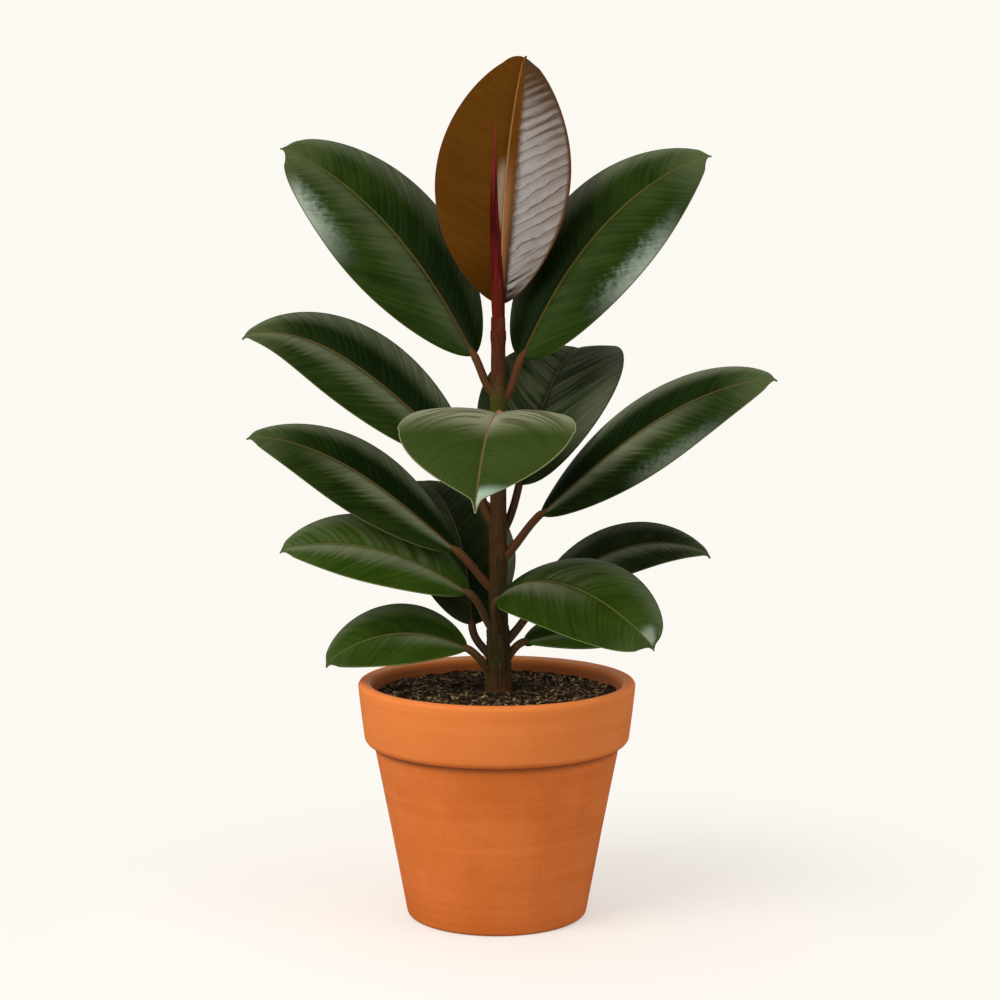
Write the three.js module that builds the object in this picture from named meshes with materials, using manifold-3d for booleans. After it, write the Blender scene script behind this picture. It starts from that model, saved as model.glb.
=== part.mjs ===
// A potted rubber plant: terracotta pot, soil, one upright stem, the red bud sheath on its tip and
// fourteen leaves. Millimetres, +Z up. The origin is the centre of the pot's base.
// +X is right of the front view and -Y is towards the viewer of it.

import * as THREE from 'three';
import { mergeVertices } from 'three/addons/utils/BufferGeometryUtils.js';
import Module from 'manifold-3d';

const wasm = await Module();
wasm.setup();

// Pot
const POT_HEIGHT = 171;
const RIM_RADIUS = 100;
const RIM_HEIGHT = 42;
const RIM_FOOT_RADIUS = 95.5;
const BODY_TOP_RADIUS = 88.4;
const BASE_RADIUS = 64.6;
const LIP_THICKNESS = 8.8;
const LIP_ROUND = 3.6;
const BASE_ROUND = 3;
const RIM_FOOT_ROUND = 5;
const FLOOR_THICKNESS = 10;
const DRAIN_RADIUS = 11;
const POT_SIDES = 56;

// Soil
const SOIL_LEVEL = 160.5;
const MOUND_RISE = 2.5;
const MOUND_SPREAD = 38;
const SOIL_LUMP = 0.8;
const SOIL_COLLAR = 4;
const SOIL_SIDES = 40;
const SOIL_RINGS = 7;

// Stem
const STEM_X = 1;
const STEM_FOOT = 96;
const STEM_TOP = 431;
const STEM_LOW_RADIUS = 6.6;
const STEM_HIGH_RADIUS = 4.9;
const STEM_FLARE = 3.4;
const FLARE_HEIGHT = 45;
const ROOT_RADIUS = 4;
const ROOT_TOP = 150;
const NODE_SWELLING = 0.55;
const NODE_SPREAD = 4;
const MAX_SWELLING = 0.7;
const STEM_SIDES = 14;

// Bud sheath
const SHEATH_TOP = 568;
const SHEATH_RADIUS = 5.3;
const SHEATH_POINT = 0.35;
const SHEATH_TAPER = 5.8;
const SHEATH_LEAN = 1.6;
const SHEATH_BOW = 2.6;
const SHEATH_ROWS = 11;
const SHEATH_SIDES = 10;

// Gap between pieces that touch
const GAP = 0.3;

// Leaves
const BLADE_ROWS = 17;
const STALK_ROWS = 5;
const BLADE_COLUMNS = 6;
const STALK_RADIUS = 2.9;
const STALK_RISE = 35;
const STALK_FLARE = 0.35;
const EDGE_THICKNESS = 0.8;
const MID_THICKNESS = 1.3;
const KEEL_DEPTH = 2.2;
const KEEL_END = 0.4;
const TIP_HALF_WIDTH = 0.45;
const DRIP_LENGTH = 4;
const DRIP_SPREAD = 0.25;
const POINT_SPREAD = 2.4;
const SHOULDER_ROUND = 1.4;
const OUTLINE_END = 0.99;
const TIP_HOOK = 30;
const HOOK_LENGTH = 9;
const BLADE_FOLD = 10;
const BLADE_CURL = 44;
const BASE_FULLNESS = 0.62;
const TIP_FULLNESS = 0.5;

// Each leaf: node is the height at which its stalk leaves the stem and side the bearing of that place,
// base is where the blade begins, and length and width are the blade's. heading is the bearing in which
// the blade points (0 is +X, 90 is +Y), turn its change towards the tip. rise and fall are the midrib's
// angles above the horizontal at base and tip, and ease says how late the bend comes. roll turns the
// blade about its midrib and twist adds to it towards the tip. fold lifts the blade's halves out of the
// flat and curl bends their margins down. drip is the length of the narrow tip and point how fast the
// blade widens behind it.
const LEAVES = {
  leaf_crown: {
    node: 417, side: 90, base: [3, 9, 440], heading: 90, turn: -55, rise: 84, fall: 75,
    length: 180, width: 100, roll: -10, twist: 55, fold: 20, curl: 12, widest: 0.49,
    baseFull: 0.64, tipFull: 0.62, drip: 1, point: 6, stalk: 2.2, young: true,
  },
  leaf_upper_left: {
    node: 376, side: 180, base: [-16, 3, 404], heading: 172, rise: 62, fall: 24, ease: 1.5,
    length: 207, width: 89, roll: -59, fold: 8, baseFull: 0.6,
  },
  leaf_upper_right: {
    node: 371, side: 0, base: [17, 3, 402], heading: 8, rise: 65, fall: 19, ease: 1.5,
    length: 205, width: 88, roll: 55, curl: 48, baseFull: 0.52, tipFull: 0.65,
  },
  leaf_front: {
    node: 352, side: 268, base: [2, -18, 364], heading: 263, rise: 8, fall: -52,
    length: 150, width: 121, roll: -1, fold: 20, curl: 32, tipFull: 0.55, drip: 10, point: 1.5,
  },
  leaf_middle_left: {
    node: 283, side: 168, base: [-23, 5, 330], heading: 164, rise: 41, fall: -18, ease: 3,
    length: 199, width: 63, roll: -57, curl: 24, widest: 0.48, baseFull: 0.6, tipFull: 0.8,
  },
  leaf_back_right: {
    node: 276, side: 45, base: [16, 10, 311], heading: 50, turn: 34, rise: 69, fall: -26, ease: 1.4,
    length: 193, width: 106, roll: 0, curl: 14, widest: 0.4, tipFull: 0.9,
  },
  leaf_middle_right: {
    node: 258, side: -8, base: [31, -3, 291], heading: -19, rise: 43, fall: 6, ease: 2,
    length: 202, width: 72, roll: 50, tipFull: 0.7,
  },
  leaf_lower_left: {
    node: 235, side: 190, base: [-28, -5, 265], heading: 182, rise: 42, fall: 0, ease: 2.2,
    length: 175, width: 60, roll: -50, fold: 6, curl: 30, tipFull: 0.7,
  },
  leaf_low_left: {
    node: 206, side: 195, base: [-20, -6, 235], heading: 184, rise: 37, fall: -15, ease: 1.2,
    length: 144, width: 58, roll: -50, curl: 24, tipFull: 0.7,
  },
  leaf_low_right_front: {
    node: 203, side: 290, base: [0, -16, 231], heading: -50, rise: 62, fall: -33, ease: 0.44,
    length: 175, width: 72, roll: 35, baseFull: 0.5,
  },
  leaf_low_right_back: {
    node: 195, side: 10, base: [30, 2, 226], heading: 6, rise: 44, fall: -30, ease: 1.5,
    length: 141, width: 53, roll: 35, curl: 24, baseFull: 0.5, tipFull: 0.9,
  },
  leaf_back_left: {
    node: 183, side: 130, base: [-18, 12, 209], heading: 100, turn: 20, rise: 72, fall: 10,
    length: 153, width: 82, roll: 0, curl: 20, widest: 0.46,
  },
  leaf_lowest_right: {
    node: 179, side: 30, base: [20, 4, 198], heading: 25, rise: 12, fall: -10,
    length: 98, width: 50, roll: 20, curl: 24,
  },
  leaf_lowest_left: {
    node: 171, side: 200, base: [-21, -8, 195], heading: 182, rise: 30, fall: -43,
    length: 111, width: 56, roll: -42, curl: 24, tipFull: 0.7,
  },
};

const COLORS = {
  terracotta: { color: 0xc96a35, roughness: 0.8 },
  soil: { color: 0x2a1c12, roughness: 0.95 },
  stem: { color: 0x5a3a24, roughness: 0.6 },
  sheath: { color: 0x8e1f22, roughness: 0.4 },
  leaf: { color: 0x24421b, roughness: 0.35 },
  youngLeaf: { color: 0x5e3513, roughness: 0.4 },
};

const radians = THREE.MathUtils.degToRad;
const lerp = THREE.MathUtils.lerp;

function material(finish) {
  return new THREE.MeshStandardMaterial({ ...COLORS[finish], metalness: 0 });
}

function piece(name, geometry, finish) {
  const mesh = new THREE.Mesh(geometry, material(finish));
  mesh.name = name;
  return mesh;
}

function toSolid(geometry) {
  const bare = new THREE.BufferGeometry();
  bare.setAttribute('position', geometry.getAttribute('position'));
  bare.setIndex(geometry.getIndex());
  const merged = mergeVertices(bare, 1e-4);
  return new wasm.Manifold(
    new wasm.Mesh({
      numProp: 3,
      vertProperties: Float32Array.from(merged.getAttribute('position').array),
      triVerts: Uint32Array.from(merged.getIndex().array),
    }),
  );
}

function toGeometry(solid) {
  const mesh = solid.getMesh();
  const geometry = new THREE.BufferGeometry();
  geometry.setAttribute('position', new THREE.BufferAttribute(Float32Array.from(mesh.vertProperties), 3));
  geometry.setIndex(new THREE.BufferAttribute(Uint32Array.from(mesh.triVerts), 1));
  return geometry;
}

// A lathe about the vertical axis from [radius, height] pairs.
function turned(profile, sides) {
  const points = profile.map(([radius, height]) => new THREE.Vector2(radius, height));
  return new THREE.LatheGeometry(points, sides).rotateX(Math.PI / 2);
}

// Points of a quarter-round or half-round, as [radius, height] pairs.
function rounded(centreRadius, centreHeight, size, fromDegrees, toDegrees, steps) {
  return Array.from({ length: steps + 1 }, (_, step) => {
    const angle = radians(lerp(fromDegrees, toDegrees, step / steps));
    return [centreRadius + size * Math.cos(angle), centreHeight + size * Math.sin(angle)];
  });
}

// The pot's inner wall at a height: parallel to the body, under an upright lip.
function innerRadius(height) {
  const lipInner = RIM_RADIUS - LIP_THICKNESS;
  const bodyTop = POT_HEIGHT - RIM_HEIGHT;
  const wallTop = BODY_TOP_RADIUS - LIP_THICKNESS;
  const wallFoot = BASE_RADIUS - LIP_THICKNESS;
  return height > bodyTop
    ? lerp(wallTop, lipInner, (height - bodyTop) / RIM_HEIGHT)
    : lerp(wallFoot, wallTop, height / bodyTop);
}

function potGeometry() {
  const rimFoot = POT_HEIGHT - RIM_HEIGHT;
  const lipInner = RIM_RADIUS - LIP_THICKNESS;
  const profile = [
    [DRAIN_RADIUS, 0],
    ...rounded(BASE_RADIUS - BASE_ROUND, BASE_ROUND, BASE_ROUND, -90, 0, 2),
    [BODY_TOP_RADIUS, rimFoot - RIM_FOOT_ROUND],
    ...rounded(RIM_FOOT_RADIUS - RIM_FOOT_ROUND, rimFoot + 3, RIM_FOOT_ROUND, -60, 0, 2),
    ...rounded(RIM_RADIUS - LIP_ROUND, POT_HEIGHT - LIP_ROUND, LIP_ROUND, 0, 90, 3),
    ...rounded(lipInner + LIP_ROUND, POT_HEIGHT - LIP_ROUND, LIP_ROUND, 90, 180, 3),
    [innerRadius(rimFoot), rimFoot],
    [innerRadius(FLOOR_THICKNESS), FLOOR_THICKNESS],
    [DRAIN_RADIUS, FLOOR_THICKNESS],
    [DRAIN_RADIUS, 0],
  ];
  return turned(profile, POT_SIDES);
}

// Stem radius at a height: woody foot, slender top, a swelling and a ring scar at each leaf node.
function stemRadius(height) {
  const above = Math.max(height - SOIL_LEVEL, 0);
  const rise = Math.min(above / (STEM_TOP - SOIL_LEVEL), 1);
  const wood = lerp(STEM_LOW_RADIUS, STEM_HIGH_RADIUS, rise) + STEM_FLARE * Math.exp(-above / FLARE_HEIGHT);
  const root = (height - STEM_FOOT) / (ROOT_TOP - STEM_FOOT);
  const body = root < 1 ? lerp(ROOT_RADIUS, wood, root) : wood;
  const swelling = Object.values(LEAVES).reduce(
    (sum, leaf) => sum + NODE_SWELLING * Math.exp(-(((height - leaf.node) / NODE_SPREAD) ** 2)),
    0,
  );
  return body + Math.min(swelling, MAX_SWELLING);
}

function stemProfile(extra, from, to) {
  const heights = [from, 120, 140, ROOT_TOP + 2, 158, 166];
  for (let height = 171; height < to - 4; height += 7) {
    heights.push(height);
  }
  heights.push(to);
  const wall = heights.map((height) => [stemRadius(height) + extra, height]);
  return [[0, from], ...wall, [0, to]];
}

function stemGeometry(extra = 0, from = STEM_FOOT, to = STEM_TOP) {
  return turned(stemProfile(extra, from, to), STEM_SIDES).translate(STEM_X, 0, 0);
}

// The sheath's centre and radius at a height: a slender spike that leans a little to the left.
function sheathSection(part) {
  const height = lerp(STEM_TOP + GAP, SHEATH_TOP, part);
  const radius = Math.min(SHEATH_RADIUS, SHEATH_POINT + SHEATH_TAPER * (1 - part));
  const lean = SHEATH_LEAN * part + SHEATH_BOW * Math.sin(Math.PI * part) * Math.sqrt(part);
  return { height, radius, centre: STEM_X - lean };
}

// A closed tube from rings of points: ring k joins ring k + 1, and the end rings are closed by fans.
// flip(j) says which way the four-sided face at column j is split.
function skin(rings, flip = () => false) {
  const count = rings[0].length;
  const positions = rings.flat().flatMap((point) => [point.x, point.y, point.z]);
  const index = [];
  for (let ring = 0; ring < rings.length - 1; ring += 1) {
    for (let side = 0; side < count; side += 1) {
      const next = (side + 1) % count;
      const a = ring * count + side;
      const b = ring * count + next;
      const c = (ring + 1) * count + next;
      const d = (ring + 1) * count + side;
      index.push(...(flip(side) ? [a, b, d, b, c, d] : [a, b, c, a, c, d]));
    }
  }
  for (const [ring, reverse] of [[0, true], [rings.length - 1, false]]) {
    const centre = rings[ring].reduce((sum, point) => sum.add(point), new THREE.Vector3());
    centre.divideScalar(count);
    const hub = positions.length / 3;
    positions.push(centre.x, centre.y, centre.z);
    for (let side = 0; side < count; side += 1) {
      const a = ring * count + side;
      const b = ring * count + ((side + 1) % count);
      index.push(...(reverse ? [hub, b, a] : [hub, a, b]));
    }
  }
  const geometry = new THREE.BufferGeometry();
  geometry.setAttribute('position', new THREE.Float32BufferAttribute(positions, 3));
  geometry.setIndex(index);
  return geometry;
}

function sheathGeometry() {
  const rings = Array.from({ length: SHEATH_ROWS + 1 }, (_, row) => {
    const { height, radius, centre } = sheathSection(row / SHEATH_ROWS);
    return Array.from({ length: SHEATH_SIDES }, (__, side) => {
      const angle = (2 * Math.PI * side) / SHEATH_SIDES;
      return new THREE.Vector3(centre + radius * Math.cos(angle), radius * Math.sin(angle), height);
    });
  });
  return skin(rings);
}

// Soil surface height: a shallow mound round the stem with uneven lumps.
function soilHeight(radius, angle) {
  const mound = MOUND_RISE * Math.exp(-((radius / MOUND_SPREAD) ** 2));
  const lumps = Math.sin(5 * angle + radius * 0.13) * Math.cos(0.21 * radius - 3 * angle)
    + 0.6 * Math.sin(11 * angle - radius * 0.3);
  return SOIL_LEVEL + mound + SOIL_LUMP * lumps;
}

function soilGeometry() {
  const hole = stemRadius(SOIL_LEVEL) + SOIL_COLLAR;
  const edge = innerRadius(SOIL_LEVEL) - GAP;
  const foot = FLOOR_THICKNESS + GAP;
  const bend = POT_HEIGHT - RIM_HEIGHT;
  const ringAt = (radius, height) => Array.from({ length: SOIL_SIDES }, (_, side) => {
    const angle = (2 * Math.PI * side) / SOIL_SIDES;
    const z = height === undefined ? soilHeight(radius, angle) : height;
    return new THREE.Vector3(radius * Math.cos(angle), radius * Math.sin(angle), z);
  });
  const rings = [
    ringAt(innerRadius(foot) - GAP, foot),
    ringAt(innerRadius(bend) - GAP, bend),
  ];
  for (let ring = 0; ring <= SOIL_RINGS; ring += 1) {
    rings.push(ringAt(lerp(edge, hole, ring / SOIL_RINGS)));
  }
  const solid = toSolid(skin(rings));
  const stemHole = toSolid(stemGeometry(GAP, STEM_FOOT - GAP, STEM_TOP));
  return toGeometry(solid.subtract(stemHole));
}

function direction(rise, heading) {
  const up = radians(rise);
  const round = radians(heading);
  return new THREE.Vector3(Math.cos(up) * Math.cos(round), Math.cos(up) * Math.sin(round), Math.sin(up));
}

// The midrib's direction a part of the way along the blade, whose tip hooks down a little.
function midribDirection(leaf, part) {
  const { rise, fall, heading, length, turn = 0, ease = 1 } = leaf;
  const hooked = Math.max(1 - (length * (1 - part)) / HOOK_LENGTH, 0);
  return direction(lerp(rise, fall, part ** ease) - TIP_HOOK * hooked, heading + turn * part);
}

function midribPoint(leaf, part) {
  const steps = 60;
  const stride = (leaf.length * part) / steps;
  const point = new THREE.Vector3(...leaf.base);
  for (let step = 0; step < steps; step += 1) {
    point.addScaledVector(midribDirection(leaf, (part * (step + 0.5)) / steps), stride);
  }
  return point;
}

// Half the blade's width a part of the way along: an ellipse-like outline behind a short narrow tip.
function halfWidth(leaf, part) {
  const { length, width, widest = 0.5, baseFull = BASE_FULLNESS, tipFull = TIP_FULLNESS } = leaf;
  const { drip = DRIP_LENGTH, point = POINT_SPREAD } = leaf;
  const along = Math.min(part / OUTLINE_END, 1) ** (Math.log(0.5) / Math.log(widest));
  const arch = Math.max(Math.sin(Math.PI * along), 0);
  const outline = (width / 2) * arch ** lerp(baseFull, tipFull, part);
  if (part <= 0.5) {
    return outline;
  }
  const left = length * (1 - part);
  const past = left - drip;
  const tail = TIP_HALF_WIDTH + DRIP_SPREAD * Math.min(left, drip);
  const widening = (point / 2) * (past + Math.hypot(past, SHOULDER_ROUND));
  const shoulder = TIP_HALF_WIDTH + DRIP_SPREAD * left + widening;
  const rounded = (outline * shoulder) / (outline ** 4 + shoulder ** 4) ** 0.25;
  return Math.max(rounded, tail);
}

// Side and face directions of the blade a part of the way along its midrib.
function bladeFrame(leaf, part) {
  const { heading, turn = 0, roll, twist = 0 } = leaf;
  const along = midribDirection(leaf, part);
  const left = direction(0, heading + turn * part + 90);
  const face = along.clone().cross(left);
  const angle = radians(roll + twist * part);
  return {
    side: left.clone().multiplyScalar(Math.cos(angle)).addScaledVector(face, Math.sin(angle)),
    face: face.clone().multiplyScalar(Math.cos(angle)).addScaledVector(left, -Math.sin(angle)),
  };
}

// Round section of the stalk: as many points as a blade section, the first half over the top.
function stalkRing(centre, side, face, radius) {
  const half = BLADE_COLUMNS + 1;
  return Array.from({ length: 2 * half }, (_, step) => {
    const angle = (Math.PI * (step + 0.5)) / half;
    return centre.clone()
      .addScaledVector(side, radius * Math.cos(angle))
      .addScaledVector(face, radius * Math.sin(angle));
  });
}

// Section of the blade: upper face from one margin to the other, then the lower face back again.
function bladeRing(leaf, part) {
  const { fold = BLADE_FOLD, curl = BLADE_CURL, stalk = STALK_RADIUS } = leaf;
  const centre = midribPoint(leaf, part);
  const { side, face } = bladeFrame(leaf, part);
  const half = halfWidth(leaf, part);
  const columns = Array.from({ length: BLADE_COLUMNS + 1 }, (_, step) => 1 - (2 * step) / BLADE_COLUMNS);
  const upper = columns.map((across) => {
    const lift = radians(fold - (curl * Math.abs(across)) / 2);
    return centre.clone()
      .addScaledVector(side, half * across * Math.cos(lift))
      .addScaledVector(face, half * Math.abs(across) * Math.sin(lift));
  });
  const lower = columns.map((across, step) => {
    const slope = radians(fold - curl * Math.abs(across)) * Math.sign(across);
    const thick = lerp(MID_THICKNESS, EDGE_THICKNESS, Math.abs(across));
    const keel = across === 0 ? lerp(stalk + KEEL_DEPTH, KEEL_END, part ** 0.7) : 0;
    return upper[step].clone()
      .addScaledVector(face, -(thick + keel) * Math.cos(slope))
      .addScaledVector(side, thick * Math.sin(slope));
  });
  return [...upper, ...lower.reverse()];
}

function leafGeometry(leaf, stem) {
  const { node, side: bearing, base, stalk = STALK_RADIUS } = leaf;
  const bladeBase = new THREE.Vector3(...base);
  const start = bladeFrame(leaf, 0);
  const root = new THREE.Vector3(STEM_X, 0, node).addScaledVector(direction(0, bearing), 1);
  const reach = root.distanceTo(bladeBase);
  const curve = new THREE.CubicBezierCurve3(
    root,
    root.clone().addScaledVector(direction(STALK_RISE, bearing), reach * 0.35),
    bladeBase.clone().addScaledVector(midribDirection(leaf, 0), -reach * 0.4),
    bladeBase,
  );
  const rings = [];
  for (let row = 0; row < STALK_ROWS; row += 1) {
    const part = row / STALK_ROWS;
    const along = curve.getTangent(part);
    const side = start.side.clone().addScaledVector(along, -start.side.dot(along)).normalize();
    const face = along.clone().cross(side);
    const flare = 1 + STALK_FLARE * (1 - part) ** 3;
    rings.push(stalkRing(curve.getPoint(part), side, face, stalk * flare));
  }
  const inset = start.face.clone().multiplyScalar(-stalk * 0.7);
  rings.push(stalkRing(bladeBase.clone().add(inset), start.side, start.face, stalk * 0.9));
  for (let row = 1; row <= BLADE_ROWS; row += 1) {
    const part = (1 - Math.cos((Math.PI * row) / BLADE_ROWS)) / 2;
    rings.push(bladeRing(leaf, part));
  }
  const solid = toSolid(skin(rings, (column) => column > BLADE_COLUMNS));
  return toGeometry(solid.subtract(stem));
}

const plant = new THREE.Group();
plant.add(piece('pot', potGeometry(), 'terracotta'));
plant.add(piece('soil', soilGeometry(), 'soil'));
plant.add(piece('stem', stemGeometry(), 'stem'));
plant.add(piece('bud_sheath', sheathGeometry(), 'sheath'));

const stemWithGap = toSolid(stemGeometry(GAP));
for (const [name, leaf] of Object.entries(LEAVES)) {
  plant.add(piece(name, leafGeometry(leaf, stemWithGap), leaf.young ? 'youngLeaf' : 'leaf'));
}

export default plant;
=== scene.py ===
"""A potted rubber plant: terracotta pot, soil, stem, bud sheath and fourteen leaves, on a pale stage."""

import math
import random

import bmesh
import bpy
import numpy as np
from bpy.props import FloatProperty, FloatVectorProperty, IntProperty, PointerProperty
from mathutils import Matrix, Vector, noise


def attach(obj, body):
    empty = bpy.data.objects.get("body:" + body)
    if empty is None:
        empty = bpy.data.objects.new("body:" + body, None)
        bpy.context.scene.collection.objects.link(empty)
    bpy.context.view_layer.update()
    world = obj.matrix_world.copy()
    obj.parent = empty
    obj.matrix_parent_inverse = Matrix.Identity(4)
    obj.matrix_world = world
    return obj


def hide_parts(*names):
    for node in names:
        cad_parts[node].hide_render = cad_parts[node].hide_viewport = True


bl_info = {
    "name": "Potted Rubber Plant",
    "version": (1, 0, 0),
    "blender": (4, 5, 0),
    "location": "View3D > Sidebar > Plant",
    "description": "Models a rubber plant in a terracotta pot on a pale studio stage",
    "category": "Add Mesh",
}

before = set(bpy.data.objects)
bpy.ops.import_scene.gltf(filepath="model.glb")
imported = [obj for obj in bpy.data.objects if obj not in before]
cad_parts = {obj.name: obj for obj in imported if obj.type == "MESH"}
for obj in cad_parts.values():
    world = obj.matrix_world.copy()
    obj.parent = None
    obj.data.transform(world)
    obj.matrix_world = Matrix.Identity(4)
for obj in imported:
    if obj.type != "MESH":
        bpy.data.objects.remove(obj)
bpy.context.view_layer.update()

MM = 0.001
SEED = 7

# Leaf rows in millimetres and degrees, as the part's source has them. node is the height at which the
# stalk leaves the stem and side its bearing, base is where the blade begins. heading is the bearing of
# the blade, turn its change towards the tip, rise and fall the midrib's slopes at base and tip, and ease
# how late the bend comes. roll turns the blade about its midrib and twist adds to it towards the tip.
# drip is the length of the narrow tip and point how fast the blade widens behind it.
LEAVES = {
    "leaf_crown": dict(
        node=417, side=90, base=(3, 9, 440), heading=90, turn=-55, rise=84, fall=75, length=180,
        width=100, roll=-10, twist=55, fold=20, curl=12, widest=0.49, base_full=0.64, tip_full=0.62,
        drip=1, point=6, stalk=2.2,
    ),
    "leaf_upper_left": dict(
        node=376, side=180, base=(-16, 3, 404), heading=172, rise=62, fall=24, ease=1.5, length=207,
        width=89, roll=-59, fold=8, base_full=0.6,
    ),
    "leaf_upper_right": dict(
        node=371, side=0, base=(17, 3, 402), heading=8, rise=65, fall=19, ease=1.5, length=205, width=88,
        roll=55, curl=48, base_full=0.52, tip_full=0.65,
    ),
    "leaf_front": dict(
        node=352, side=268, base=(2, -18, 364), heading=263, rise=8, fall=-52, length=150, width=121,
        roll=-1, fold=20, curl=32, tip_full=0.55, drip=10, point=1.5,
    ),
    "leaf_middle_left": dict(
        node=283, side=168, base=(-23, 5, 330), heading=164, rise=41, fall=-18, ease=3, length=199,
        width=63, roll=-57, curl=24, widest=0.48, base_full=0.6, tip_full=0.8,
    ),
    "leaf_back_right": dict(
        node=276, side=45, base=(16, 10, 311), heading=50, turn=34, rise=69, fall=-26, ease=1.4,
        length=193, width=106, roll=0, curl=14, widest=0.4, tip_full=0.9,
    ),
    "leaf_middle_right": dict(
        node=258, side=-8, base=(31, -3, 291), heading=-19, rise=43, fall=6, ease=2, length=202, width=72,
        roll=50, tip_full=0.7,
    ),
    "leaf_lower_left": dict(
        node=235, side=190, base=(-28, -5, 265), heading=182, rise=42, fall=0, ease=2.2, length=175,
        width=60, roll=-50, fold=6, curl=30, tip_full=0.7,
    ),
    "leaf_low_left": dict(
        node=206, side=195, base=(-20, -6, 235), heading=184, rise=37, fall=-15, ease=1.2, length=144,
        width=58, roll=-50, curl=24, tip_full=0.7,
    ),
    "leaf_low_right_front": dict(
        node=203, side=290, base=(0, -16, 231), heading=-50, rise=62, fall=-33, ease=0.44, length=175,
        width=72, roll=35, base_full=0.5,
    ),
    "leaf_low_right_back": dict(
        node=195, side=10, base=(30, 2, 226), heading=6, rise=44, fall=-30, ease=1.5, length=141,
        width=53, roll=35, curl=24, base_full=0.5, tip_full=0.9,
    ),
    "leaf_back_left": dict(
        node=183, side=130, base=(-18, 12, 209), heading=100, turn=20, rise=72, fall=10, length=153,
        width=82, roll=0, curl=20, widest=0.46,
    ),
    "leaf_lowest_right": dict(
        node=179, side=30, base=(20, 4, 198), heading=25, rise=12, fall=-10, length=98, width=50, roll=20,
        curl=24,
    ),
    "leaf_lowest_left": dict(
        node=171, side=200, base=(-21, -8, 195), heading=182, rise=30, fall=-43, length=111, width=56,
        roll=-42, curl=24, tip_full=0.7,
    ),
}
ROW_DEFAULTS = dict(
    turn=0, ease=1, twist=0, fold=10, curl=44, widest=0.5, base_full=0.62, tip_full=0.5, drip=4, point=2.4,
    stalk=2.9,
)

# How each blade looks: deep and lit leaf colours, how strongly its side veins are ribbed and drawn,
# how deep the fine wrinkles between them are in millimetres, how wide apart the side veins are compared
# with the usual, how rough its surface is and how much it mirrors, how dark the painted shade in the band
# above the midrib is and how pale the painted sheen on the upper margin, how far the side veins lean
# towards the tip and how much they bow, and the colours of its edge (a painted highlight on green blades),
# of its midrib from stalk to tip and of its side veins.
LOOKS = {
    "mature": dict(
        deep=(0.006, 0.017, 0.0010), lit=(0.024, 0.046, 0.0050), veins=0.12, ribs=0.04, wrinkle=0.18,
        spread=1.0, rough=0.38, specular=0.05, dusk=0.90, rim=0.70, sweep=(0.75, 0.50),
        edge=(0.11, 0.12, 0.035), rib=((0.095, 0.036, 0.012), (0.13, 0.085, 0.028)),
        vein_color=(0.060, 0.085, 0.036),
    ),
    "dark": dict(
        deep=(0.006, 0.013, 0.002), lit=(0.028, 0.040, 0.013), veins=0.15, ribs=0.06, wrinkle=0.24,
        spread=1.0, rough=0.42, specular=0.05, dusk=0.50, rim=0.50, sweep=(0.65, 0.50),
        edge=(0.09, 0.10, 0.03), rib=((0.06, 0.03, 0.014), (0.09, 0.07, 0.035)),
        vein_color=(0.060, 0.075, 0.038),
    ),
    "lower": dict(
        deep=(0.012, 0.031, 0.001), lit=(0.034, 0.064, 0.006), veins=0.12, ribs=0.03, wrinkle=0.16,
        spread=1.0, rough=0.38, specular=0.05, dusk=0.55, rim=0.45, sweep=(0.65, 0.60),
        edge=(0.14, 0.17, 0.045), rib=((0.070, 0.036, 0.012), (0.13, 0.110, 0.035)),
        vein_color=(0.060, 0.090, 0.028),
    ),
    "front": dict(
        deep=(0.026, 0.049, 0.007), lit=(0.040, 0.060, 0.012), veins=0.08, ribs=0.04, wrinkle=0.16,
        spread=0.8, rough=0.42, specular=0.05, dusk=0.0, rim=0.0, sweep=(0.45, 0.60),
        edge=(0.26, 0.28, 0.12), rib=((0.26, 0.125, 0.075), (0.13, 0.11, 0.045)),
        vein_color=(0.10, 0.13, 0.05),
    ),
    "young": dict(
        deep=(0.078, 0.027, 0.0028), lit=(0.105, 0.039, 0.0045), veins=0.08, ribs=0.04, wrinkle=0.30,
        spread=1.3, rough=0.44, specular=0.0, dusk=0.0, rim=0.0, sweep=(0.42, 0.10),
        edge=(0.10, 0.030, 0.010), rib=((0.60, 0.23, 0.15), (0.42, 0.20, 0.09)),
        vein_color=(0.035, 0.010, 0.002),
    ),
}
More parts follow.
